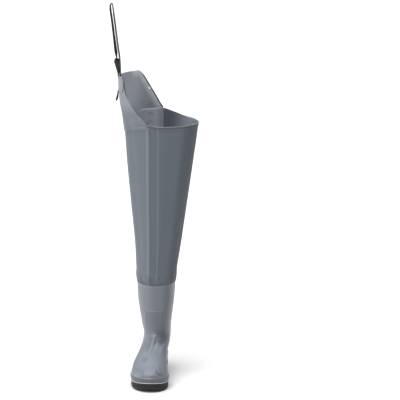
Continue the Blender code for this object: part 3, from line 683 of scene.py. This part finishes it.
class LegSurface:
    # the leg's outside, also above its rim, read by column and height; columns 0 to 44 start at the back
    # and go along the inner side, past the front at 22
    def __init__(self):
        bootLevels = (leg["hem"], (leg["hem"] + boot["top"]) / 2, boot["top"])
        low = [bootRing(z, leg["around"]) for z in bootLevels]
        high = [ovalRing(z, leg["around"]) for z in np.arange(legOval["z"][0], leg["highest"], 10.0)]
        rings = np.array(low + high)
        self.normals = closedNormals(rings)
        self.normals[..., 2] = 0
        self.normals = unit(self.normals)
        rings[: len(low)] += self.normals[: len(low)] * (sole["gap"] + leg["wall"])
        self.rings = rings
        self.heights = rings[:, 0, 2]

    def read(self, values, column, z):
        # between the four nearest of the rings' values
        column = np.mod(column, leg["columns"]) * leg["around"] / leg["columns"]
        i = np.floor(column).astype(int) % leg["around"]
        t = (column - np.floor(column))[..., None]
        k = np.clip(np.searchsorted(self.heights, z) - 1, 0, len(self.heights) - 2)
        f = ((z - self.heights[k]) / (self.heights[k + 1] - self.heights[k]))[..., None]
        after = (i + 1) % leg["around"]
        low = values[k, i] * (1 - t) + values[k, after] * t
        high = values[k + 1, i] * (1 - t) + values[k + 1, after] * t
        return low * (1 - f) + high * f

    def bare(self, column, z):
        # the surface without its folds
        column, z = np.broadcast_arrays(np.asarray(column, float), np.asarray(z, float))
        points = self.read(self.rings, column, z)
        points[..., 2] = z
        return points

    def angle(self, column, z):
        # degrees from the front towards the outer side
        points = self.bare(column, z)
        at = {name: smoothCurve(z, legOval["z"], legOval[name]) for name in legOval}
        x = (at["midX"] - points[..., 0]) / at["halfX"]
        y = (at["midY"] - points[..., 1]) / at["halfY"]
        return np.degrees(np.arctan2(x, y))

    def folds(self, column, z):
        # bells across the long folds, and close waves of three lengths where the foot is gathered
        angle = self.angle(column, z)
        share = (z - leg["foldLow"]) / leg["foldTall"]
        total = 0
        for low, high, height, width in legFolds:
            off = angle - (low + (high - low) * share)
            total = total + height * bell((off + 180) % 360 - 180, width)
        turn = np.radians(angle)
        bunch = np.cos(13 * turn + 0.6) + 0.7 * np.cos(21 * turn + 2.0) + 0.5 * np.cos(7 * turn)
        bunch = leg["bunchRaise"] * (bunch + 1.2) * bell(z - leg["bunchMiddle"], leg["bunchReach"])
        return total * ease((z - 335) / 70) + bunch

    def at(self, column, z, out=0.0):
        # the surface with its folds, moved outwards by out
        column, z = np.broadcast_arrays(np.asarray(column, float), np.asarray(z, float))
        out = np.asarray(out, float) + self.folds(column, z)
        return self.bare(column, z) + self.read(self.normals, column, z) * out[..., None]

    def columnOf(self, angle, z=800.0):
        columns = np.linspace(0, leg["columns"], 20 * leg["columns"] + 1)
        angles = self.angle(columns, np.full(len(columns), float(z)))
        angles[0], angles[-1] = -180.0, 180.0
        return np.interp(angle, angles, columns)

    def rimHeight(self, column):
        angles = self.angle(np.asarray(column, float), np.full(np.shape(column), 760.0))
        angles = np.where(np.asarray(column) <= 0, -180.0, angles)
        return smoothCurve(angles, rim["angle"], rim["z"])


def stripColumns(columns, heights):
    # share across the strip of each column, and where the column runs so that the strip keeps its edges
    inner, outer = strip["inner"][-1], strip["outer"][-1]
    innerAt = np.interp(heights, strip["z"], strip["inner"])
    outerAt = np.interp(heights, strip["z"], strip["outer"])
    across = (columns - inner) / (outer - inner) + 0 * heights
    column = np.where(across <= 0, columns / inner * innerAt, innerAt + across * (outerAt - innerAt))
    beyond = outerAt + (columns - outer) / (leg["columns"] - outer) * (leg["columns"] - outerAt)
    column = np.where(across >= 1, beyond, column)
    raised = ease((column - innerAt + 0.04) / 0.08) * (1 - ease((column - outerAt + 0.04) / 0.08))
    return across, column, leg["stripRaise"] * raised


def makeLeg(surface, finish):
    # columns close together at the strip's edges, and rows close together at the foot and the rim's hem
    edges = (strip["inner"][-1], strip["outer"][-1])
    near = np.array([-0.16, -0.1, -0.06, -0.03, 0.0, 0.03, 0.06, 0.1, 0.16])
    fixed = np.arange(0, leg["columns"], leg["columns"] / leg["across"])
    fixed = fixed[(np.abs(fixed - edges[0]) > 0.2) & (np.abs(fixed - edges[1]) > 0.2)]
    columns = np.sort(np.concatenate([fixed, edges[0] + near, edges[1] + near]))
    top = surface.rimHeight(columns)
    hem, straight = leg["hemHeight"], leg["straight"]
    even = np.concatenate([np.arange(leg["hem"], 346, 2.5), np.arange(350, straight + 1, 5.0)])
    low = [np.full(len(columns), z) for z in even]
    high = [straight + (top - hem - 3 - straight) * t for t in np.linspace(0.08, 1, 12)]
    under = [hem + step for step in (1.2, 0.6, 0.2, -0.2, -0.8)] + [8.0, 4.0, 1.6, 0.6, 0.0]
    last = [top - depth for depth in under]
    heights = np.array(low + high + last)
    across, column, raised = stripColumns(columns, heights)
    # the hem's band stands out on the inner side only, and the foot's edge draws in
    openSide = ease((column - 0.3) / 0.3) * (1 - ease((column - 23.9) / 0.25))
    raised = np.maximum(raised, leg["hemRaise"] * ease((heights - top + hem + 0.4) / 0.8) * openSide)
    foot = 1 - ease((heights - leg["hem"]) / 2.0)
    few = everyFew(len(heights), 3)
    outside = surface.at(column, heights, raised - 0.35 * foot)
    inside = surface.at(column[few], heights[few], -leg["wall"])
    grid = closeWall(outside, inside, 0.45)
    rows = len(heights)
    fields = {
        "inside": outerField(grid, rows, 0, 1), "strip": outerField(grid, rows, np.clip(across, -2, 3), -2),
        "rimEdge": outerField(grid, rows, 0), "depth": outerField(grid, rows, top - heights, 99),
        "footZone": outerField(grid, rows, 1 - ease((heights - leg["hem"] - 6) / 5)),
        "bunched": outerField(grid, rows, bell(heights - 303, 13)),
    }
    fields["rimEdge"][rows - 1:rows + 2] = 1
    turned = surface.angle(column, heights)
    turned[:, 0] = -180.0
    fields["angle"] = wholeField(turned, few)
    piece = putMesh("leg_fabric", grid, gridQuads(*grid.shape[:2], rowsClose=True), fields, sharp=60.0)
    dress(piece, finish, "leg_fabric", "leg")


# angles of the flap are read at one level
flap = {"wall": 1.1, "out": 0.5, "rows": 84, "columns": 190, "level": 800.0}
flapTop = table(
    "angle z",
    (18.5, 769), (25.5, 782), (32, 793), (39, 806), (46.5, 822), (57, 863), (61, 896), (65, 898),
    (139, 898), (144.5, 900), (150, 890), (155, 876), (168, 830), (179.6, 784),
)
eyelet = {
    "angle": 160.5, "z": 843.0, "bore": 1.7, "barrel": 2.5, "flange": 4.3, "hole": 2.9, "foldLow": 771.0,
}
patch = {
    "start": 60.4, "end": 104.0, "bottom": 856.0, "corner": 868.0, "top": 893.0, "thick": 2.4,
    "level": 880.0, "foldLow": 740.0,
}


def roundedEnds(t, edge):
    # 0 at both ends of 0..1 and 1 inside, as a quarter circle over edge
    near = np.clip(np.minimum(t, 1 - t) / edge, 0, 1)
    return np.sqrt(np.clip(1 - (1 - near) ** 2, 0, 1))


def sheetOn(surface, column, heights, low, high):
    # a closed sheet on the leg's surface between two offsets, thinned to nothing at its ends
    wide = np.linalg.norm(np.diff(surface.bare(column[0], heights[0]), axis=0), axis=1)
    along = np.concatenate([[0], np.cumsum(wide)])
    thin = roundedEnds(along / along[-1], (high - low) / 2 / along[-1])
    middle = (low + high) / 2
    half = (high - low) / 2 * thin
    outside = surface.at(column, heights, middle + half)
    few = everyFew(len(heights), 2)
    inside = surface.at(column[few], heights[few], middle - half + 0 * heights[few])
    return closeWall(outside, inside, (high - low) * 0.4), len(heights)


# soft dents: depth, middle as angle and height, and reach in degrees and mm
flapDents = ((-1.6, 60, 800, 14, 16), (1.2, 78, 812, 9, 18))
# slanted folds: depth, angle at 840 mm, slant in degrees a mm, and width in degrees
flapFolds = ((-1.2, 96, 0.25, 9), (1.0, 122, -0.12, 10))
# small marks above the front weld, as the dents
flapMarks = (
    (-1.3, 33, 784, 4.5, 5), (0.9, 39, 775, 5, 6), (-0.8, 27, 774, 4, 4), (-0.9, 46, 790, 5, 8),
)


def flapCrumple(angle, z, low):
    # how far the flap is pushed out, in mm: dents and folds that fade out at its weld, and the marks
    total = sum(spot(angle, z, *dent) for dent in flapDents)
    for depth, at, slant, wide in flapFolds:
        total = total + depth * bell((angle - at + (z - 840) * slant) / wide, 1)
    total = total * ease((z - low - 14) / 26)
    for mark in flapMarks:
        total = total + spot(angle, z, *mark)
    return total


def makeFlap(surface, finish):
    start, end = surface.columnOf(flapTop["angle"][0]), surface.columnOf(flapTop["angle"][-1])
    columns = start + (end - start) * np.linspace(0, 1, flap["columns"])
    extra = (end - start) * np.array([0.0004, 0.0012, 0.9988, 0.9996])
    columns = np.sort(np.concatenate([columns, start + extra]))
    angle = surface.angle(columns, np.full(len(columns), flap["level"]))
    angle[-1] = min(angle[-1], 180.0)
    # the top edge is the mean of five readings, which rounds its corners
    top = sum(np.interp(angle + d, flapTop["angle"], flapTop["z"]) for d in (-2.4, -1.2, 0, 1.2, 2.4)) / 5
    low = surface.rimHeight(columns) - leg["hemHeight"]
    share = np.concatenate([[0, 0.004, 0.01], np.linspace(0.02, 0.98, flap["rows"]), [0.99, 0.996, 1.0]])
    heights = low + share[:, None] * (top - low)
    column = columns + 0 * heights
    grid, rows = sheetOn(surface, column, heights, flap["out"], flap["out"] + flap["wall"])
    few = everyFew(rows, 2)
    crumple = flapCrumple(angle + 0 * heights, heights, low)
    push = surface.read(surface.normals, column, heights) * crumple[..., None]
    grid[:-1] += wholeField(push, few)[:-1]
    # distance from the top edge, square to it
    arc = surface.bare(columns, np.full(len(columns), flap["level"]))
    arc = np.concatenate([[0], np.cumsum(np.linalg.norm(np.diff(arc, axis=0), axis=1))])
    away = (top - heights) / np.sqrt(1 + np.gradient(top, arc) ** 2)
    fields = {
        "edge": wholeField(away, few), "above": wholeField(heights - low, few),
        "inside": outerField(grid, rows, 0, 1), "angle": np.broadcast_to(angle, grid.shape[:2]),
    }
    faces = gridQuads(*grid.shape[:2], rowsClose=True, columnsClose=False)
    piece = putMesh("hip_flap_panel", grid, faces, fields, sharp=60.0, weld=True)
    plug = ((0, -6), (eyelet["hole"], -6), (eyelet["hole"], 6), (0, 6))
    hole = turnedMesh("eyelet_hole", plug, 32, *eyeletPlace(surface))
    cutter = piece.modifiers.new("hole", "BOOLEAN")
    cutter.operation = "DIFFERENCE"
    cutter.solver = "EXACT"
    cutter.object = hole
    finished = bpy.data.meshes.new_from_object(piece.evaluated_get(bpy.context.evaluated_depsgraph_get()))
    piece.modifiers.clear()
    piece.data = finished
    bpy.data.objects.remove(hole)
    dress(piece, finish, "leg_fabric", "hip_flap")


def makePatch(surface, finish):
    start, end = surface.columnOf(patch["start"]), surface.columnOf(patch["end"])
    share = np.unique(np.concatenate([np.linspace(0, 1, 60), [0.001, 0.004, 0.01, 0.99, 0.996, 0.999]]))
    columns = start + (end - start) * share
    lowest = patch["bottom"] + (patch["corner"] - patch["bottom"]) * (1 - ease(share / 0.09))
    rows = np.unique(np.concatenate([np.linspace(0, 1, 26), [0.01, 0.03, 0.97, 0.99]]))[:, None]
    heights = lowest + rows * (patch["top"] - lowest)
    # its corners are round: the ends are a little shorter
    heights = heights + 1.6 * (1 - roundedEnds(share, 0.025)) * (1 - 2 * rows)
    low = sole["gap"] * 2 + 0.2 + flap["wall"]
    grid = sheetOn(surface, columns + 0 * heights, heights, low, low + patch["thick"])[0]
    # it follows the flap's folds, as they are at its own level
    push = surface.read(surface.normals, columns, np.full(len(columns), patch["level"]))
    angle = surface.angle(columns, np.full(len(columns), flap["level"]))
    grid += flapCrumple(angle, patch["level"], patch["foldLow"])[:, None] * push
    faces = gridQuads(*grid.shape[:2], rowsClose=True, columnsClose=False)
    piece = putMesh("strap_patch_panel", grid, faces, sharp=60.0, weld=True)
    dress(piece, finish, "patch_fabric", "strap_patch")


def eyeletPlace(surface):
    # middle of the eyelet in the flap's wall, and its axes: up, along the edge and out
    column = surface.columnOf(eyelet["angle"])
    z = eyelet["z"]
    middle = surface.at(column, z, flap["out"] + flap["wall"] / 2)
    crumple = flapCrumple(surface.angle(column, np.array(flap["level"])), z, eyelet["foldLow"])
    middle = middle + surface.read(surface.normals, column, np.array(z)) * crumple
    side = unit(surface.at(column + 0.2, z) - surface.at(column - 0.2, z))
    upward = surface.at(column, z + 5) - surface.at(column, z - 5)
    out = unit(np.cross(upward, side))
    return middle, np.array([np.cross(side, out), side, out])


def turnedMesh(name, profile, count, middle, axes, closed=False, **more):
    # a profile of radius and height, turned round the third axis
    profile = np.array(profile, float)
    turn = np.arange(count) * 2 * math.pi / count
    radius, up = profile[:, :1], profile[:, 1:]
    local = np.stack([radius * np.cos(turn), radius * np.sin(turn), up + 0 * turn], axis=-1)
    points = middle + local @ axes
    return putMesh(name, points, gridQuads(len(profile), count, rowsClose=closed), weld=True, **more)


def makeEyelet(surface, finish):
    # a barrel through the hole, with a rounded flange on each face
    bore, flange = eyelet["bore"], eyelet["flange"]
    face = flap["wall"] / 2 + 0.15
    up = face + 1.15
    turn = np.linspace(0, math.pi, 13)
    middle, half = (bore + flange) / 2, (flange - bore) / 2
    upper = [(middle - half * math.cos(t), face + (up - face) * math.sin(t) ** 0.8) for t in turn]
    lower = [(r, -h) for r, h in upper[::-1]]
    profile = upper + [(eyelet["barrel"], face), (eyelet["barrel"], -face)] + lower
    piece = turnedMesh("eyelet_ring", profile, 40, *eyeletPlace(surface), closed=True, sharp=50.0)
    dress(piece, finish, "eyelet_metal", "eyelet")


# Belt strap and buckle, seen from the front: x and z of the middle of the webbing's thickness

webbing = {
    "wide": 25.0, "thick": 1.6, "middleY": -11.0, "step": 1.6, "around": 40, "edge": 0.22, "face": 0.5,
}
strapRoute = (
    (-103.9, 876.0), (-103.6, 890.0), (-103.2, 904.0), (-104.6, 940.0), (-109.6, 980.0), (-114.8, 1021.0),
    (-120.0, 1063.0), (-124.9, 1101.0), (-126.2, 1107.5), (-129.0, 1110.6), (-132.2, 1108.8),
    (-132.6, 1104.0), (-127.8, 1063.0), (-122.7, 1021.0), (-117.8, 980.0), (-113.5, 947.0), (-112.2, 934.0),
)
tailRoute = ((-109.9, 855.6), (-110.6, 846.0), (-112.4, 834.0), (-114.0, 826.0), (-112.6, 824.0))
# turns of the webbing about its own line: share of its length, and degrees
loopTwist = (
    (0.0, 0.0), (0.12, 2.4), (0.25, 3.8), (0.45, 3.4), (0.54, 0.0), (0.62, -5.0), (0.8, -8.0),
    (0.92, -12.0), (0.965, 0.0), (1.0, 0.0),
)
noTwist = ((0.0, 0.0), (1.0, 0.0))
tailTwist = ((0.0, 0.0), (0.3, -4.0), (1.0, -12.0))
tabRoute = ((-110.0, 893.5), (-110.0, 899.0), (-110.4, 903.2), (-109.4, 906.0), (-107.6, 907.0))
buckle = {
    "cheek": 3.0, "spare": 1.5, "bevel": 0.7, "corner": 1.6, "around": 24,
    # the outline of a cheek, and x, z and radius of each bar
    "wedge": ((-121.5, 944.0), (-119.0, 946.0), (-108.5, 944.5), (-107.0, 941.0), (-105.4, 903.0),
              (-106.4, 900.0), (-109.0, 900.5)),
    "bars": ((-118.4, 943.0, 2.6), (-109.0, 929.0, 1.9), (-107.6, 903.2, 1.7)),
}


def makeWebbing(name, route, finish, node, twist=noTwist):
    # a superellipse, wide / 2 * cos^edge and thick / 2 * sin^face, carried along a smooth line through the
    # route, with closed ends that are rounded over half the thickness
    route = np.array(route)
    length = np.concatenate([[0], np.cumsum(np.linalg.norm(np.diff(route, axis=0), axis=1))])
    at = np.linspace(0, length[-1], max(8, int(length[-1] / webbing["step"])))
    x, z = smoothCurve(at, length, route[:, 0]), smoothCurve(at, length, route[:, 1])
    along = unit(np.stack([np.gradient(x), np.gradient(z)], axis=1))
    around = webbing["around"]
    turn = np.arange(around) * 2 * math.pi / around
    wide = np.sign(np.cos(turn)) * np.abs(np.cos(turn)) ** webbing["edge"] * webbing["wide"] / 2
    thick = np.sign(np.sin(turn)) * np.abs(np.sin(turn)) ** webbing["face"] * webbing["thick"] / 2
    thin = np.maximum(roundedEnds(at / at[-1], webbing["thick"] / 2 / at[-1])[:, None], 0.02)
    turned = np.radians(smoothCurve(at / at[-1], *np.array(twist).T))[:, None]
    sideways = wide * np.cos(turned) + thick * thin * np.sin(turned)
    outward = thick * thin * np.cos(turned) - wide * np.sin(turned)
    x, z = x[:, None] - along[:, 1:] * outward, z[:, None] + along[:, :1] * outward
    points = np.stack([x, webbing["middleY"] + sideways, z], axis=-1)
    fields = {"along": at[:, None] + 0 * points[..., 0], "across": wide + 0 * points[..., 0]}
    piece = putMesh(name, points, tubeFaces(len(at), around), fields, sharp=50.0, weld=True)
    dress(piece, finish, "webbing", node)


def roundCorners(outline, radius, count=6):
    # each corner becomes a quadratic curve that starts and ends at radius from it
    outline = np.array(outline, float)
    before, after = np.roll(outline, 1, axis=0), np.roll(outline, -1, axis=0)
    shorter = np.minimum(np.linalg.norm(before - outline, axis=1), np.linalg.norm(after - outline, axis=1))
    reach = np.minimum(radius, shorter * 0.45)[:, None]
    start, end = outline + unit(before - outline) * reach, outline + unit(after - outline) * reach
    t = np.linspace(0, 1, count)[None, :, None]
    curve = (1 - t) ** 2 * start[:, None] + 2 * t * (1 - t) * outline[:, None] + t * t * end[:, None]
    return curve.reshape(-1, 2)


def plateBlock(outline, low, high, bevel):
    # an outline in X and Z between two values of Y, with edges rounded as quarter circles: points and faces
    loop = roundCorners(outline, buckle["corner"])
    x, z = loop.T
    along = np.roll(loop, -1, axis=0) - np.roll(loop, 1, axis=0)
    inward = unit(np.stack([-along[:, 1], along[:, 0]], axis=1))
    if np.sum(x * np.roll(z, -1) - np.roll(x, -1) * z) < 0:
        inward = -inward
    turns = np.radians([0, 30, 60, 90])
    steps = [(bevel * (1 - math.sin(t)), low + bevel * (1 - math.cos(t))) for t in turns]
    steps += [(inset, low + high - y) for inset, y in steps[::-1]]
    rows = []
    for inset, y in steps:
        drawn = loop + inward * inset
        rows.append(np.column_stack([drawn[:, 0], np.full(len(loop), y), drawn[:, 1]]))
    return np.concatenate(rows), tubeFaces(len(rows), len(loop))


def barBlock(x, z, radius, half):
    # a round bar along Y through (x, z): points and faces
    around = buckle["around"]
    turn = np.arange(around) * 2 * math.pi / around
    ring = np.stack([x + radius * np.cos(turn), 0 * turn, z + radius * np.sin(turn)], axis=1)
    rows = [ring + np.array([0, webbing["middleY"] + y, 0]) for y in np.linspace(-half, half, 5)]
    return np.concatenate(rows), tubeFaces(len(rows), around)


def makeBuckle(finish):
    # two wedge-shaped cheeks, and three bars that end inside them
    half = (webbing["wide"] + buckle["spare"]) / 2
    blocks = []
    for side in (-1, 1):
        ends = sorted(webbing["middleY"] + side * away for away in (half, half + buckle["cheek"]))
        blocks.append(plateBlock(buckle["wedge"], *ends, buckle["bevel"]))
    blocks += [barBlock(*bar, half + 1) for bar in buckle["bars"]]
    points, faces, start = [], [], 0
    for block, quads in blocks:
        points.append(block)
        faces += [[i + start for i in face] for face in quads]
        start += len(block)
    piece = putMesh("buckle_body", np.concatenate(points), faces, weld=True, sharp=35.0)
    dress(piece, finish, "buckle_plastic", "buckle")


# Finishes

def rubberFinish():
    # satin moulded rubber: faint clouds and scuffs, a fine pebble, a darker front panel, a painted
    # highlight along its top and under the leg's foot, painted shade in the creases, painted highlights on
    # the vamp and outer ankle, and a darker foxing
    finish = Finish("bootRubber", Roughness=0.5, Coat_Roughness=0.45, Coat_Weight=0.3)
    cloud = finish.noise(14.0, 4.0, 0.6)
    fine = finish.noise(900.0, 2.0)
    scuff = finish.noise(55.0, 5.0, 0.7, stretch=(1.0, 1.0, 2.2))
    finish.base = finish.colours(cloud, (0.127, 0.142, 0.165), (0.155, 0.171, 0.196))
    finish.cover(finish.field("panel") * 0.5, (0.094, 0.106, 0.127))
    # painted highlight along the panel's top and under the leg's foot
    finish.cover(finish.field("paintedEdgeLight") * 0.12, (0.42, 0.45, 0.48))
    finish.cover(finish.between(scuff, 0.62, 0.78) * 0.18, (0.34, 0.36, 0.38))
    # painted highlights on the vamp and the outer ankle
    finish.cover(finish.field("paintedLight") * 0.26, (0.26, 0.285, 0.32))
    # painted shade in the creases, down the inner side and over the toe
    finish.cover(finish.field("paintedShade") * 0.72, (0.032, 0.043, 0.062))
    finish.cover(finish.field("foxing"), (0.074, 0.082, 0.097))
    finish.cover(finish.field("inside"), (0.05, 0.055, 0.062))
    finish.paint("Base Color", finish.base)
    finish.paint("Roughness", finish.between(cloud, 0.3, 0.7, 0.36, 0.48))
    finish.bump(fine * 0.6 + cloud * 0.4, 0.00012, 0.5)
    return finish.material


def fabricFinish():
    # coated fabric: fine weave, long cloudy streaks, painted light on the outer side, a ribbed strip with a
    # pale edge, painted shade on the facet of the inner side, a dark weld at the foot, and a paler lining
    # with a painted shadow on one side of the back crease
    finish = Finish("legFabric", Roughness=0.5, Specular_IOR_Level=0.2)
    streak = finish.noise(6.0, 4.0, 0.55, stretch=(1.0, 1.0, 0.25))
    fine = finish.noise(1500.0, 2.0)
    angle, across = finish.field("angle"), finish.field("strip")
    finish.base = finish.colours(streak, (0.08, 0.096, 0.112), (0.106, 0.124, 0.143))
    # painted light on the outer side, painted shade on the facet of the inner side, and deeper painted
    # shade at that facet's far edge
    finish.stripe(angle, (18.0, 26.0, 120.0, 172.0), 0.5, (0.15, 0.171, 0.195))
    finish.stripe(angle, (-172.0, -125.0, -50.0, -31.0), 0.7, (0.062, 0.075, 0.093))
    finish.stripe(angle, (-130.0, -95.0, -74.0, -50.0), 0.8, (0.036, 0.046, 0.06))
    # the strip with its ribs, its pale edge, a painted highlight on the crest beside its other edge, and
    # painted shade in the gutter before that
    inStrip = finish.band(across, -0.02, 0.02, 0.98, 1.02)
    ribs = finish.work("SINE", across * 44.0) * 0.5 + 0.5
    finish.cover(inStrip * (ribs * 0.6 + 0.1), (0.088, 0.104, 0.12))
    finish.stripe(across, (-0.04, 0.02, 0.12, 0.22), 0.25, (0.22, 0.245, 0.27))
    finish.stripe(across, (1.0, 1.06, 1.08, 1.5), 0.42, (0.27, 0.3, 0.335))
    finish.stripe(across, (0.93, 0.97, 0.99, 1.02), 0.35, (0.05, 0.06, 0.07))
    # the weld at the foot, painted shade in the folds of its gathers, the painted shade under the rim, and
    # the rim's pale top edge on the inner side, partly a lighter cut edge and partly a painted highlight
    finish.cover(finish.field("footZone") * 0.4, (0.07, 0.08, 0.092))
    gathers = finish.noise(60.0, 3.0, 0.6, stretch=(1.0, 1.0, 0.5))
    finish.cover(finish.field("bunched") * finish.between(gathers, 0.42, 0.6) * 0.5, (0.06, 0.07, 0.082))
    finish.stripe(finish.field("depth"), (1.2, 2.2, 5.5, 8.0), 0.6, (0.045, 0.052, 0.062))
    rimEdge = finish.field("rimEdge")
    finish.cover(rimEdge * finish.between(angle, -150.0, -120.0) * 0.7, (0.3, 0.33, 0.35))
    # the lining: from the back a painted shadow of the flap, then paler and palest further round, painted
    # shade again near the back, and painted shade in its crumples
    toInner = finish.between(angle, -170.0, -132.0)
    lining = finish.colours(toInner, (0.07, 0.08, 0.095), (0.235, 0.255, 0.29))
    lining = finish.colours(finish.between(angle, 80.0, 110.0), lining, (0.33, 0.355, 0.4))
    lining = finish.colours(finish.between(angle, 166.0, 182.0) * 0.75, lining, (0.1, 0.11, 0.125))
    lining = finish.colours(streak * 0.25, lining, (0.2, 0.215, 0.245))
    crumple = finish.between(finish.noise(38.0, 4.0, 0.6, stretch=(1.0, 1.0, 1.8)), 0.5, 0.66)
    outerSide = finish.band(angle, 60.0, 95.0, 158.0, 172.0)
    lining = finish.colours(outerSide * crumple * 0.45, lining, (0.08, 0.088, 0.1))
    finish.cover(finish.field("inside"), lining)
    # painted shade on the rim's top where it stands inside the flap
    finish.cover(rimEdge * finish.between(angle, 50.0, 70.0)
                 * finish.between(angle, 120.0, 150.0, 1.0, 0.0) * 0.75, (0.05, 0.056, 0.064))
    finish.paint("Base Color", finish.base)
    finish.paint("Roughness", finish.between(streak, 0.3, 0.7, 0.46, 0.56))
    finish.bump(fine * 0.3 + ribs * inStrip * 0.7, 0.0003, 0.5)
    return finish.material


def flapFinish():
    # the same fabric: its outside painted lighter higher up, a painted shadow along the front edge, a dark
    # edge at the back, a painted highlight along the top, and a weld line
    finish = Finish("flapFabric", Roughness=0.5, Specular_IOR_Level=0.25)
    streak = finish.noise(7.0, 4.0, 0.55)
    fine = finish.noise(1500.0, 2.0)
    angle, edge, above = finish.field("angle"), finish.field("edge"), finish.field("above")
    finish.base = finish.colours(streak, (0.122, 0.14, 0.161), (0.156, 0.174, 0.198))
    # the outside painted lighter higher up, where it faces the light
    finish.cover(finish.between(above, 42.0, 84.0) * 0.6, (0.26, 0.285, 0.31))
    # the lining: painted shade toward the back, a painted highlight at the top's back corner where it
    # curls, and darker near the top
    lining = finish.colours(finish.between(angle, 118.0, 166.0), (0.4, 0.43, 0.485), (0.158, 0.173, 0.201))
    corner = finish.between(angle, 131.0, 137.0) * finish.between(edge, 4.0, 26.0, 1.0, 0.0)
    lining = finish.colours(corner * 0.5, lining, (0.75, 0.78, 0.82))
    lining = finish.colours(streak * 0.3, lining, (0.3, 0.322, 0.365))
    nearTop = finish.between(edge, 8.0, 70.0, 1.0, 0.0) * finish.between(angle, 124.0, 150.0, 1.0, 0.55)
    lining = finish.colours(nearTop * 0.42, lining, (0.17, 0.185, 0.21))
    finish.cover(finish.field("inside"), lining)
    # painted shade and painted highlights of crumples low down, the weld line, and the edges: a painted
    # shadow along the front, a dark back edge and a painted highlight along the top
    crumple = finish.noise(38.0, 4.0, 0.6, stretch=(1.0, 1.0, 1.8))
    soft = finish.between(above, 26.0, 60.0, 1.0, 0.0)
    finish.cover(soft * finish.between(crumple, 0.5, 0.68) * 0.22, (0.06, 0.066, 0.076))
    finish.cover(soft * finish.between(crumple, 0.32, 0.44, 1.0, 0.0) * 0.2, (0.4, 0.43, 0.46))
    finish.stripe(above, (11.6, 12.6, 13.4, 14.6), 0.3, (0.05, 0.056, 0.064))
    # a painted shadow along the front edge
    front = finish.between(edge, 2.6, 4.4, 1.0, 0.0) * finish.band(angle, 48.0, 57.0, 63.0, 66.0)
    finish.cover(front * 0.9, (0.012, 0.013, 0.015))
    back = finish.between(edge, 2.8, 4.8, 1.0, 0.0) * finish.between(angle, 145.0, 154.0)
    finish.cover(back * 0.95, (0.012, 0.013, 0.015))
    # a painted highlight along the top edge
    topLine = finish.between(edge, 1.0, 2.0, 1.0, 0.0) * finish.band(angle, 64.0, 68.0, 143.0, 148.0)
    finish.cover(topLine * 0.6, (0.6, 0.62, 0.65))
    finish.paint("Base Color", finish.base)
    finish.paint("Roughness", finish.between(streak, 0.3, 0.7, 0.46, 0.56))
    finish.bump(fine, 0.0001, 0.5)
    return finish.material


# finishes of one clouded colour with a grain: fixed values, the cloud's noise, the colours at its two ends,
# the roughness at its two ends, the grain's noise, and the bump's distance and strength
plainFinishes = {
    "soleRubber": (
        {"Roughness": 0.6, "Specular_IOR_Level": 0.3}, (25.0, 4.0, 0.6), (0.008, 0.008, 0.009),
        (0.02, 0.02, 0.022), (0.5, 0.7), (1200.0, 2.0), (0.00015, 0.6),
    ),
    "weltRubber": (
        {"Roughness": 0.5}, (60.0, 3.0), (0.42, 0.43, 0.45),
        (0.52, 0.53, 0.55), None, (800.0, 2.0), (0.0001, 0.4),
    ),
    "footbedFelt": (
        {"Roughness": 0.95, "Sheen_Weight": 0.3}, (700.0, 4.0, 0.7), (0.05, 0.052, 0.058),
        (0.13, 0.132, 0.14), None, None, (0.0005, 0.8),
    ),
    "patchFabric": (
        {"Roughness": 0.6, "Sheen_Weight": 0.2}, (30.0, 3.0), (0.165, 0.182, 0.195),
        (0.205, 0.226, 0.24), None, (1500.0, 2.0), (0.0001, 0.6),
    ),
    "bucklePlastic": (
        {"Roughness": 0.45, "Specular_IOR_Level": 0.35}, (40.0,), (0.006, 0.006, 0.0065),
        (0.011, 0.011, 0.012), None, (1100.0, 2.0), (0.00006, 0.4),
    ),
    "eyeletMetal": (
        {"Roughness": 0.25, "Metallic": 1.0}, (300.0, 3.0), (0.52, 0.53, 0.55),
        (0.62, 0.63, 0.65), (0.2, 0.34), None, (0.00003, 0.3),
    ),
}


def plainFinish(name):
    fixed, clouds, low, high, roughness, grain, bump = plainFinishes[name]
    finish = Finish(name, **fixed)
    cloud = finish.noise(*clouds)
    finish.paint("Base Color", finish.colours(cloud, low, high))
    if roughness:
        finish.paint("Roughness", finish.between(cloud, 0.3, 0.7, *roughness))
    finish.bump(finish.noise(*grain) if grain else cloud, *bump)
    return finish.material


def webbingFinish():
    # a twill of threads along and across the strap, with a painted sheen that makes the strand next to the
    # leg greyer
    finish = Finish("webbingBlack", Roughness=0.75)
    along, across = finish.field("along"), finish.field("across")
    thread = finish.work("SINE", along * 4.2 + across * 2.6) * finish.work("SINE", across * 5.2)
    finish.base = finish.colours(thread * 0.5 + 0.5, (0.006, 0.006, 0.007), (0.022, 0.022, 0.024))
    # painted sheen on the strand next to the leg
    finish.stripe(along, (34.0, 70.0, 190.0, 208.0), 0.6, (0.055, 0.055, 0.057))
    finish.paint("Base Color", finish.base)
    finish.bump(thread, 0.0003, 0.7)
    return finish.material


makeCamera()
makeStudio()
print("camera and studio made")
makeOutsole(plainFinish("soleRubber"))
makeWelt(plainFinish("weltRubber"))
makeInsole(plainFinish("footbedFelt"))
makeBoot(rubberFinish())
legSurface = LegSurface()
makeLeg(legSurface, fabricFinish())
makeFlap(legSurface, flapFinish())
makePatch(legSurface, plainFinish("patchFabric"))
makeEyelet(legSurface, plainFinish("eyeletMetal"))
webbingBlack = webbingFinish()
makeWebbing("belt_loop", strapRoute, webbingBlack, "strap_loop", loopTwist)
makeWebbing("belt_tail", tailRoute, webbingBlack, "strap_tail", tailTwist)
makeWebbing("buckle_tab", tabRoute, webbingBlack, "strap_tab")
makeBuckle(plainFinish("bucklePlastic"))
